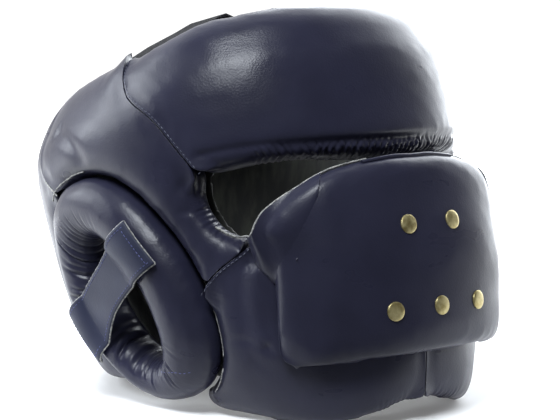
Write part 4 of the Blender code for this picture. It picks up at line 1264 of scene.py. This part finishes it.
def closure_path(along, across):
    arc = HALF_ROUND + (2 * along - 1) * CLOSURE_REACH
    arc = np.where(arc > HALF_ROUND, arc - 2 * HALF_ROUND, arc)
    height = CLOSURE_MIDDLE + across * CLOSURE_HALF_WIDTH
    level, outward = place(arc, height, CLOSURE_LIFT + STRAP_THICKNESS / 2)
    laid, _ = on_skin(["back_pad_left", "back_pad_right"], arc, height,
                      STRAP_THICKNESS / 2 + 0.2 * MM)
    from_middle = np.abs(2 * along - 1) * CLOSURE_REACH
    share = fade(from_middle, CLOSURE_LAID_START, CLOSURE_LAID)[:, None]
    return level + (laid - level) * share, outward


def chin_path(along, across):
    line = smooth_line(CHIN_LOW, 2 * MM)
    arc = (2 * along - 1) * CHIN_REACH
    low = np.interp(arc, line[:, 0], line[:, 1])
    height = low + (across + 1) / 2 * CHIN_WIDTH
    depth = section(height)[:, 3] + LINING_GAP + LINING_THICKNESS + 2.4 * MM
    return place(arc, height, -depth - STRAP_THICKNESS / 2)


closure = strap("closure_tape_strap", closure_path, 90, 16)
dress(closure, strap_leather, "closure_strap")
chin_tape = strap("chin_webbing", chin_path, 70, 12)
dress(chin_tape, black_webbing, "chin_strap")
print("straps:", closure.name, chin_tape.name)

# %% [markdown]
# ## Rivets
# The bar is held by cap rivets with low brass domes. A squashed sphere would lose their flat
# rim, so one is turned from a cylinder: its top is inset and lifted three times into a dome,
# its edges are bevelled, and the finished head is copied to each hole.

# %% One rivet head
RIVET_RADIUS = 5 * MM
RIVET_WALL = 1.0 * MM
# how far each step goes in, and how far it goes up
DOME_STEPS = ((0.9 * MM, 0.35 * MM), (1.6 * MM, 0.22 * MM), (1.4 * MM, 0.06 * MM))
RIM_SHARE = 0.8


def select_top(piece):
    """Select only the highest face that looks up."""
    bpy.ops.mesh.select_all(action="DESELECT")
    bpy.ops.object.mode_set(mode="OBJECT")
    top = max(piece.data.polygons, key=lambda face: face.center.z)
    top.select = True
    bpy.ops.object.mode_set(mode="EDIT")


bpy.ops.object.select_all(action="DESELECT")
bpy.ops.mesh.primitive_cylinder_add(vertices=32, radius=RIVET_RADIUS, depth=RIVET_WALL,
                                    location=(0, 0, RIVET_WALL / 2))
rivet = bpy.context.active_object
bpy.ops.object.transform_apply(location=True, rotation=True, scale=True)
bpy.ops.object.mode_set(mode="EDIT")
bpy.ops.mesh.select_mode(type="FACE")
for thickness, lift in DOME_STEPS:
    select_top(rivet)
    bpy.ops.mesh.inset(thickness=thickness)
    bpy.ops.transform.translate(value=(0, 0, lift))
bpy.ops.object.mode_set(mode="OBJECT")
apply_modifier(rivet, "BEVEL", width=0.22 * MM, segments=2, limit_method="ANGLE",
               angle_limit=math.radians(25))
rivet.data.materials.append(rivet_brass)
rivet.data.materials.append(rivet_rim)
for face in rivet.data.polygons:
    from_axis = math.hypot(face.center.x, face.center.y)
    face.material_index = int(from_axis > RIM_SHARE * RIVET_RADIUS)
activate(rivet)
bpy.ops.object.shade_smooth_by_angle(angle=math.radians(35))
print("one rivet head has", len(rivet.data.polygons), "faces")

# %% [markdown]
# The heads sit on the bar's finished leather, each square to its own hole. The hole's axis is
# read from the CAD rivet: its points lie in a flat disc, and the direction in which they
# spread least is the axis. Typing five turns by hand would break as soon as the bar changed.

# %% Copy it to the holes
RIVET_SEAT = 0.3 * MM
rivet_nodes = sorted(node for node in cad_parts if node.startswith("rivet_"))
for node in rivet_nodes:
    points = np.array([vertex.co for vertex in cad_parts[node].data.vertices])
    middle = points.mean(0)
    axis = np.linalg.svd(points - middle)[2][2]
    arc, height, _ = (float(value[0]) for value in locate(middle[None]))
    seat, facing = on_skin(["face_bar"], np.array([arc]), np.array([height]))
    axis = axis if axis @ facing[0] > 0 else -axis
    turn = Vector((0, 0, 1)).rotation_difference(Vector(axis)).to_matrix().to_4x4()
    head = bpy.data.objects.new(node + "_head", rivet.data.copy())
    scene.collection.objects.link(head)
    foot = Vector(seat[0]) - Vector(axis) * RIVET_SEAT
    head.data.transform(Matrix.Translation(foot) @ turn)
    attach(head, "root")
    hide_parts(node)
bpy.data.objects.remove(rivet)
print("rivets:", len(rivet_nodes))

# %% [markdown]
# ## Stitches, raw edges and welts
# Stitches are short beads of thread. They could be painted into the bump, but then they would
# be gone from the mesh, so one bead is modelled and repeated along a line that lies on the
# finished leather. Where hide was cut and turned, its pale raw edge shows as a thin line.

# %% One stitch, and rows of it
bpy.ops.object.select_all(action="DESELECT")
bpy.ops.mesh.primitive_uv_sphere_add(segments=8, ring_count=6, radius=1)
bead = bpy.context.active_object
bead_points = coordinates(bead)
bead_faces = [list(face.vertices) for face in bead.data.polygons]
bpy.data.objects.remove(bead)


def thread_mesh(name, rows, length, step, radius):
    """One mesh of stitches along rows of (points, normals)."""
    points = []
    faces = []
    for line, outward in rows:
        lengths = np.linalg.norm(np.diff(line, axis=0), axis=1)
        lengths = np.concatenate(([0], np.cumsum(lengths)))
        for at in np.arange(step / 2, lengths[-1] - step / 2, step):
            middle = np.array([np.interp(at, lengths, column) for column in line.T])
            ahead = np.array([np.interp(at + length / 2, lengths, column) for column in line.T])
            normal = np.array([np.interp(at, lengths, column) for column in outward.T])
            run = (ahead - middle) / np.linalg.norm(ahead - middle)
            side = np.cross(normal, run)
            side /= np.linalg.norm(side)
            axes = np.array((run * length / 2, side * radius, np.cross(run, side) * radius))
            first = len(points) * len(bead_points)
            points.append(bead_points @ axes + middle)
            faces += [[first + corner for corner in face] for face in bead_faces]
    mesh = bpy.data.meshes.new(name)
    mesh.from_pydata(np.vstack(points).tolist(), [], faces)
    piece = bpy.data.objects.new(name, mesh)
    scene.collection.objects.link(piece)
    mesh.shade_smooth()
    return piece


def edge_mesh(name, lines, radius, seed, uneven=0.22):
    """Thin round edges along lines, a little uneven as cut hide is."""
    draw = np.random.default_rng(seed)
    curve = bpy.data.curves.new(name, "CURVE")
    curve.dimensions = "3D"
    curve.bevel_depth = radius
    curve.bevel_resolution = 2
    for line in lines:
        spline = curve.splines.new("POLY")
        spline.points.add(len(line) - 1)
        spline.points.foreach_set("co", np.column_stack((line, np.ones(len(line)))).ravel())
        spline.points.foreach_set("radius", draw.uniform(1 - uneven, 1 + uneven, len(line)))
    curve.use_fill_caps = True
    piece = bpy.data.objects.new(name, curve)
    scene.collection.objects.link(piece)
    activate(piece)
    bpy.ops.object.convert(target="MESH")
    return bpy.context.active_object


def both_sides(line):
    """A line's points and normals on the right, and again on the left."""
    points, outward = line
    return [(points, outward), (points * (-1, 1, 1), outward * (-1, 1, 1))]


def beside(line, shift, spacing=1.5 * MM):
    """The same line moved to its left side by shift."""
    fine = smooth_line(line, spacing)
    run = np.gradient(fine, axis=0)
    run /= np.linalg.norm(run, axis=1, keepdims=True)
    return fine + np.stack((-run[:, 1], run[:, 0]), -1) * shift


def skin_line(nodes, line, lift=0.0):
    return on_skin(nodes, line[:, 0], line[:, 1], lift)


print("one stitch has", len(bead_faces), "faces")

# %% [markdown]
# A fine grey row runs along the forehead seam and another along the cheek seam, and a short
# blue row holds the ear ring's lower end. Each is a seam line moved aside, or a few marks seen
# in the photograph, dropped onto the finished skin.

# %% Rows on the pads
fine_rows = []
fine_rows += both_sides(skin_line(["forehead_pad"],
                                  beside(other_side(FOREHEAD_SEAM), -1.5 * MM), 0.1 * MM))
fine_rows += both_sides(skin_line(["temple_pad_right"],
                                  beside(other_side(CHEEK_SEAM), -1.4 * MM), 0.1 * MM))
pad_stitches = thread_mesh("pad_stitches", fine_rows, length=1.9 * MM, step=2.7 * MM,
                           radius=0.2 * MM)
dress(pad_stitches, grey_thread)
RING_ROW_SEEN = ((161, 371), (172, 373), (184, 374), (193, 372))
ring_row = smooth_line(seen(RING_ROW_SEEN)[:, :2], 1.5 * MM)
ring_rows = both_sides(skin_line(["ear_ring_right"], ring_row, 0.05 * MM))
ring_stitches = thread_mesh("ear_ring_stitches", ring_rows, length=1.7 * MM, step=2.8 * MM,
                            radius=0.25 * MM)
dress(ring_stitches, blue_thread)
print("stitches:", len(pad_stitches.data.polygons) // len(bead_faces), "on the pads")

# %% [markdown]
# The ear straps are sewn all round, near their edges. The closure strap is sewn along both
# edges and in four rows across, where it is held to the pads. The straps' paths are already
# functions of a share along and across, so a row is the same path with one share held still.

# %% Rows on the straps
ROW_SHARE = 0.84
CLOSURE_ROW_SHARE = 0.86
STRAP_LIFT = STRAP_THICKNESS / 2 + 0.05 * MM
along = np.linspace(0.015, 0.985, 70)
strap_rows = []
for across in (-ROW_SHARE, ROW_SHARE):
    strap_rows += both_sides(ear_strap_path(along, np.full(len(along), across), STRAP_LIFT))
across = np.linspace(-ROW_SHARE, ROW_SHARE, 24)
for end in (0.035, 0.965):
    strap_rows += both_sides(ear_strap_path(np.full(len(across), end), across, STRAP_LIFT))
strap_stitches = thread_mesh("ear_strap_stitches", strap_rows, length=1.7 * MM, step=2.3 * MM,
                             radius=0.26 * MM)
dress(strap_stitches, blue_thread)

closure_rows = []
long_rows = [(np.linspace(0.02, 0.98, 110), np.full(110, share))
             for share in (-CLOSURE_ROW_SHARE, CLOSURE_ROW_SHARE)]
cross_rows = [(np.full(24, end), np.linspace(-CLOSURE_ROW_SHARE, CLOSURE_ROW_SHARE, 24))
              for end in (0.02, 0.30, 0.70, 0.98)]
for along, across in long_rows + cross_rows:
    points, outward = closure_path(along, across)
    closure_rows.append((points + outward * STRAP_LIFT, outward))
closure_stitches = thread_mesh("closure_stitches", closure_rows, length=2.2 * MM,
                               step=3.1 * MM, radius=0.3 * MM)
dress(closure_stitches, grey_thread)
print("stitches:", len(strap_stitches.data.polygons) // len(bead_faces), "on the ear straps")

# %% [markdown]
# Hide that was cut and left unpainted shows pale fibres along the ear straps, in the recess
# round the ear ring and at the foot of the back seam. A wire that is round, thin and a little
# uneven reads as such an edge, and it is less work than a second skin beneath each pad.

# %% Raw edges
ear_edges = []
along = np.linspace(0.0, 1.0, 80)
for across in (-1.0, 1.0):
    for points, _ in both_sides(ear_strap_path(along, np.full(len(along), across))):
        ear_edges.append(points)
across = np.linspace(-1.0, 1.0, 20)
for points, _ in both_sides(ear_strap_path(np.zeros(len(across)), across)):
    ear_edges.append(points)
strap_edges = edge_mesh("ear_strap_raw_edges", ear_edges, radius=0.5 * MM, seed=40)
dress(strap_edges, raw_edge)

EDGE_RUNS = (
    # pad, first and last angle round the ring, distance outside it in mm
    ("temple_pad_right", -16, 27, 4.5),
    ("jaw_pad_right", 124, 153, 2.0),
    ("jaw_pad_right", 160, 180, 3.0),
)
pad_edges = []
for node, first, last, out in EDGE_RUNS:
    line = ring_line(first, last, out * MM)
    line[:, 0] *= -1
    for points, _ in both_sides(skin_line([node], line, 0.05 * MM)):
        pad_edges.append(points)
low_back = smooth_line(other_side(BACK_SEAM), 2 * MM)[-22:]
for points, _ in both_sides(skin_line(["temple_pad_right", "back_pad_right"], low_back)):
    pad_edges.append(points)
recess_edges = edge_mesh("pad_raw_edges", pad_edges, radius=0.45 * MM, seed=41)
dress(recess_edges, raw_edge)
print("raw edges:", len(ear_edges) + len(pad_edges))

# %% [markdown]
# The raw edge under the eye runs on along the bar's top corner. In front of it a welt, a thin
# roll of leather, is sewn between the bar's front and its top. Both follow the bar's outline at
# an offset of their own, so one function finds that line at any offset.

# %% The pale edge under the eye, and the welt along the bar's top
EDGE_OFFSET = 11 * MM
WELT_OFFSET = 14 * MM
WELT_RADIUS = 1.2 * MM


def bar_line(offset):
    """The bar's top outline on the right at an offset, as arcs and heights."""
    marks = []
    arcs = np.linspace(0, SIDE_ARC, 200)
    for across, up in smooth_line(BAR_TOP, 0.02):
        height = BAR_LOW + up * BAR_HEIGHT
        found = place(arcs, height, offset)[0][:, 0]
        marks.append((-np.interp(across * BAR_HALF_WIDTH, found, arcs), height))
    return np.array(marks)


eye_low = smooth_line(other_side(EYE_EDGE)[:3], 1.5 * MM)[::-1]
eye_thick = section(eye_low[:, 1])[:, 3]
eye_points = place(eye_low[:, 0], eye_low[:, 1], -0.30 * eye_thick)[0]
bar_back = bar_line(EDGE_OFFSET)
bar_points = place(bar_back[:, 0], bar_back[:, 1] + 0.2 * MM, EDGE_OFFSET)[0]
eye_marks = np.vstack((eye_points[::3], bar_points[:42:3]))
eye_edge = smooth_line(eye_marks, 1.5 * MM)
eye_edges = [eye_edge, eye_edge * (-1, 1, 1)]
eye_trim = edge_mesh("eye_raw_edge", eye_edges, radius=0.5 * MM, seed=42)
dress(eye_trim, raw_edge)
welt_line = bar_line(WELT_OFFSET)[36:]
welt_points = place(welt_line[:, 0], welt_line[:, 1] - WELT_RADIUS, WELT_OFFSET)[0]
welt_points = np.vstack((welt_points[::3], welt_points[::-3] * (-1, 1, 1)))
bar_welt = edge_mesh("bar_welt", [smooth_line(welt_points, 2 * MM)], WELT_RADIUS, seed=43,
                     uneven=0.03)
dress(bar_welt, pad_leather)
print("eye edge:", round(float(np.linalg.norm(np.diff(eye_edge, axis=0), axis=1).sum()) / MM),
      "mm a side")

# %% [markdown]
# ## Hide that closes the bar's upper corner
# Beside the eye the bar's leather runs on past the foam and is stitched down to the jaw. It
# could be pulled out of the bar's own mesh, but that would stretch its squares. It is a grid
# from the raw edge to the pads, kept just outside whatever lies under it as the camera sees it.

# %% Stretch the corner hide
CORNER_ON_PADS = ((253, 250), (258, 268), (274, 284), (292, 270), (305, 240), (316, 206))
CORNER_LIFT = 0.5 * MM
CORNER_TUCK = 2.0 * MM
CORNER_BULGE = 0.8 * MM
CORNER_MARKS = 10
corner_start = len(eye_points[::3]) - 1
corner_edge = smooth_line(eye_marks[corner_start:corner_start + CORNER_MARKS], 1 * MM)
corner_skins = [skins["face_bar"], skins["jaw_pad_right"]]


def skin_hit(ray):
    """The first skin that a ray from the camera meets near the corner, if any."""
    hits = [tree.ray_cast(camera.location, ray) for tree in corner_skins]
    hits = [hit for hit in hits if hit[0] is not None]
    return min(hits, key=lambda hit: hit[3]) if hits else None


hits = [skin_hit(camera_ray(*pixel)) for pixel in CORNER_ON_PADS]
on_pads = smooth_line([hit[0] for hit in hits if hit], 1 * MM)


def corner_path(along, across):
    """From the raw edge to the pads, bulging between; its last part is tucked under the skin."""
    share = (across + 1) / 2
    edge = np.stack([np.interp(along, np.linspace(0, 1, len(corner_edge)), column)
                     for column in corner_edge.T], -1)
    foot = np.stack([np.interp(along, np.linspace(0, 1, len(on_pads)), column)
                     for column in on_pads.T], -1)
    points = edge + (foot - edge) * share[:, None]
    arc, height, _ = locate(points)
    outward = place(arc, height)[1]
    points += (CORNER_BULGE * 4 * share * (1 - share))[:, None] * outward
    for number, point in enumerate(points):
        ray = (Vector(point) - camera.location).normalized()
        hit = skin_hit(ray)
        reach = (Vector(point) - camera.location).length
        if hit and hit[3] - CORNER_LIFT < reach:
            lift = CORNER_LIFT - CORNER_TUCK * share[number] ** 3
            points[number] = camera.location + ray * (hit[3] - lift)
    return points, outward


corner = strap("bar_corner_hide_right", corner_path, 36, 18, 0.8 * MM)
apply_modifier(corner, "SMOOTH", factor=0.5, iterations=3)
for piece in (corner, mirrored_copy(corner, "bar_corner_hide_left")):
    dress(piece, pad_leather)
print("corner hide:", len(corner.data.polygons), "faces a side")

# %% [markdown]
# ## Light and floor
# The guard stands on white paper with soft boxes at both sides, above and behind. The paper
# itself glows as a lamp would. It glows less near the guard, which paints a soft shadow round
# its foot, and it is painted dark in front of the guard. Half-gloss leather shows what it
# mirrors, so the light is mostly a matter of what lies around it: the white behind the guard
# makes the pale rims along its outline, and the darker room and paper in front keep the leather
# dark where it faces the camera. A picture of a studio round the scene could do the same, but a
# few nodes are easier to tune.

# %% Glowing white paper, with a painted shadow round the guard, painted dark in front of it
FLOOR_WHITE = (0.88, 0.88, 0.88)
FLOOR_DARK = (0.02, 0.02, 0.02)
# near the guard the paper glows less: a painted shadow round its foot
SHADOW_GLOW = 0.15
PAINTED_SHADOW_CORE = 0.13
PAINTED_SHADOW_EDGE = 0.70
DARK_START = 0.10
DARK_END = 0.20
DARK_SHARE = 0.03


def measure(nodes, links, source, low, high, at_low, at_high):
    """A Map Range node: at_low where the source is low, at_high where it is high."""
    made = nodes.new("ShaderNodeMapRange")
    for name, value in (("From Min", low), ("From Max", high), ("To Min", at_low),
                        ("To Max", at_high)):
        made.inputs[name].default_value = value
    links.new(source, made.inputs["Value"])
    return made.outputs["Result"]


def toward(nodes, links, source):
    """How far a place or a direction lies on the camera's side."""
    made = nodes.new("ShaderNodeVectorMath")
    made.operation = "DOT_PRODUCT"
    made.inputs[1].default_value = tuple(toward_camera)
    links.new(source, made.inputs[0])
    return made.outputs["Value"]


bpy.ops.object.select_all(action="DESELECT")
bpy.ops.mesh.primitive_plane_add(size=8, location=(0, 0, 0))
floor = bpy.context.active_object
floor.name = "floor"
floor_material, floor_nodes, floor_links, floor_shader = new_material("white_paper")
floor_shader.inputs["Roughness"].default_value = 0.9
floor_shader.inputs["Emission Color"].default_value = (1, 1, 1, 1)
spot = floor_nodes.new("ShaderNodeTexCoord").outputs["Object"]
reach = floor_nodes.new("ShaderNodeVectorMath")
reach.operation = "LENGTH"
floor_links.new(spot, reach.inputs[0])
# the glow falls off near the guard, which paints a shadow round its foot
glow_under_painted_shadow = measure(floor_nodes, floor_links, reach.outputs["Value"], PAINTED_SHADOW_CORE, PAINTED_SHADOW_EDGE,
               SHADOW_GLOW, 1.0)
# in front of the guard the paper is painted dark and barely glows
dark = measure(floor_nodes, floor_links, toward(floor_nodes, floor_links, spot), DARK_START,
               DARK_END, 1.0, DARK_SHARE)
floor_glow = floor_nodes.new("ShaderNodeMath")
floor_glow.operation = "MULTIPLY"
floor_links.new(glow_under_painted_shadow, floor_glow.inputs[0])
floor_links.new(dark, floor_glow.inputs[1])
floor_links.new(floor_glow.outputs["Value"], floor_shader.inputs["Emission Strength"])
# for a vector, a Map Range node has its inputs 6, 9 and 10 and its output 1
paper = floor_nodes.new("ShaderNodeMapRange")
paper.data_type = "FLOAT_VECTOR"
floor_links.new(dark, paper.inputs[6])
paper.inputs[9].default_value = FLOOR_DARK
paper.inputs[10].default_value = FLOOR_WHITE
floor_links.new(paper.outputs[1], floor_shader.inputs["Base Color"])
floor.data.materials.append(floor_material)
print("floor:", floor.name)

# %% Soft boxes
COOL_WHITE = (0.90, 0.95, 1.0)
BOX_AIM = Vector((0, 0, 0.1))
# name, azimuth, elevation, distance, size, power
SOFT_BOXES = (
    ("box_left", -138, 24, 1.5, 1.0, 26),
    ("box_top", -56, 52, 1.6, 0.6, 30),
    ("box_right", 112, 24, 1.6, 1.6, 50),
    ("box_back", 165, 60, 1.7, 1.8, 9),
)


def soft_box(name, azimuth, elevation, distance, size, power):
    """A square area light aimed at the guard."""
    turn = math.radians(azimuth)
    rise = math.radians(elevation)
    away = Vector((math.sin(turn) * math.cos(rise), -math.cos(turn) * math.cos(rise),
                   math.sin(rise)))
    lamp = bpy.data.objects.new(name, bpy.data.lights.new(name, "AREA"))
    scene.collection.objects.link(lamp)
    lamp.location = BOX_AIM + away * distance
    lamp.rotation_euler = away.to_track_quat("Z", "Y").to_euler()
    lamp.data.size = size
    lamp.data.energy = power
    lamp.data.color = COOL_WHITE


for row in SOFT_BOXES:
    soft_box(*row)

# %% The room, white behind the guard and dark in front
ROOM_WHITE = 1.15
ROOM_DARK = 0.11
ROOM_WHITE_END = -0.80
ROOM_DARK_START = -0.10
world = bpy.data.worlds.new("white_room")
scene.world = world
world.use_nodes = True
room = world.node_tree
background = room.nodes["Background"]
background.inputs["Color"].default_value = (1, 1, 1, 1)
where = room.nodes.new("ShaderNodeTexCoord")
shade = measure(room.nodes, room.links,
                toward(room.nodes, room.links, where.outputs["Generated"]),
                ROOM_WHITE_END, ROOM_DARK_START, ROOM_WHITE, ROOM_DARK)
room.links.new(shade, background.inputs["Strength"])
scene.view_settings.view_transform = "Standard"
print("room:", len(room.nodes), "nodes")
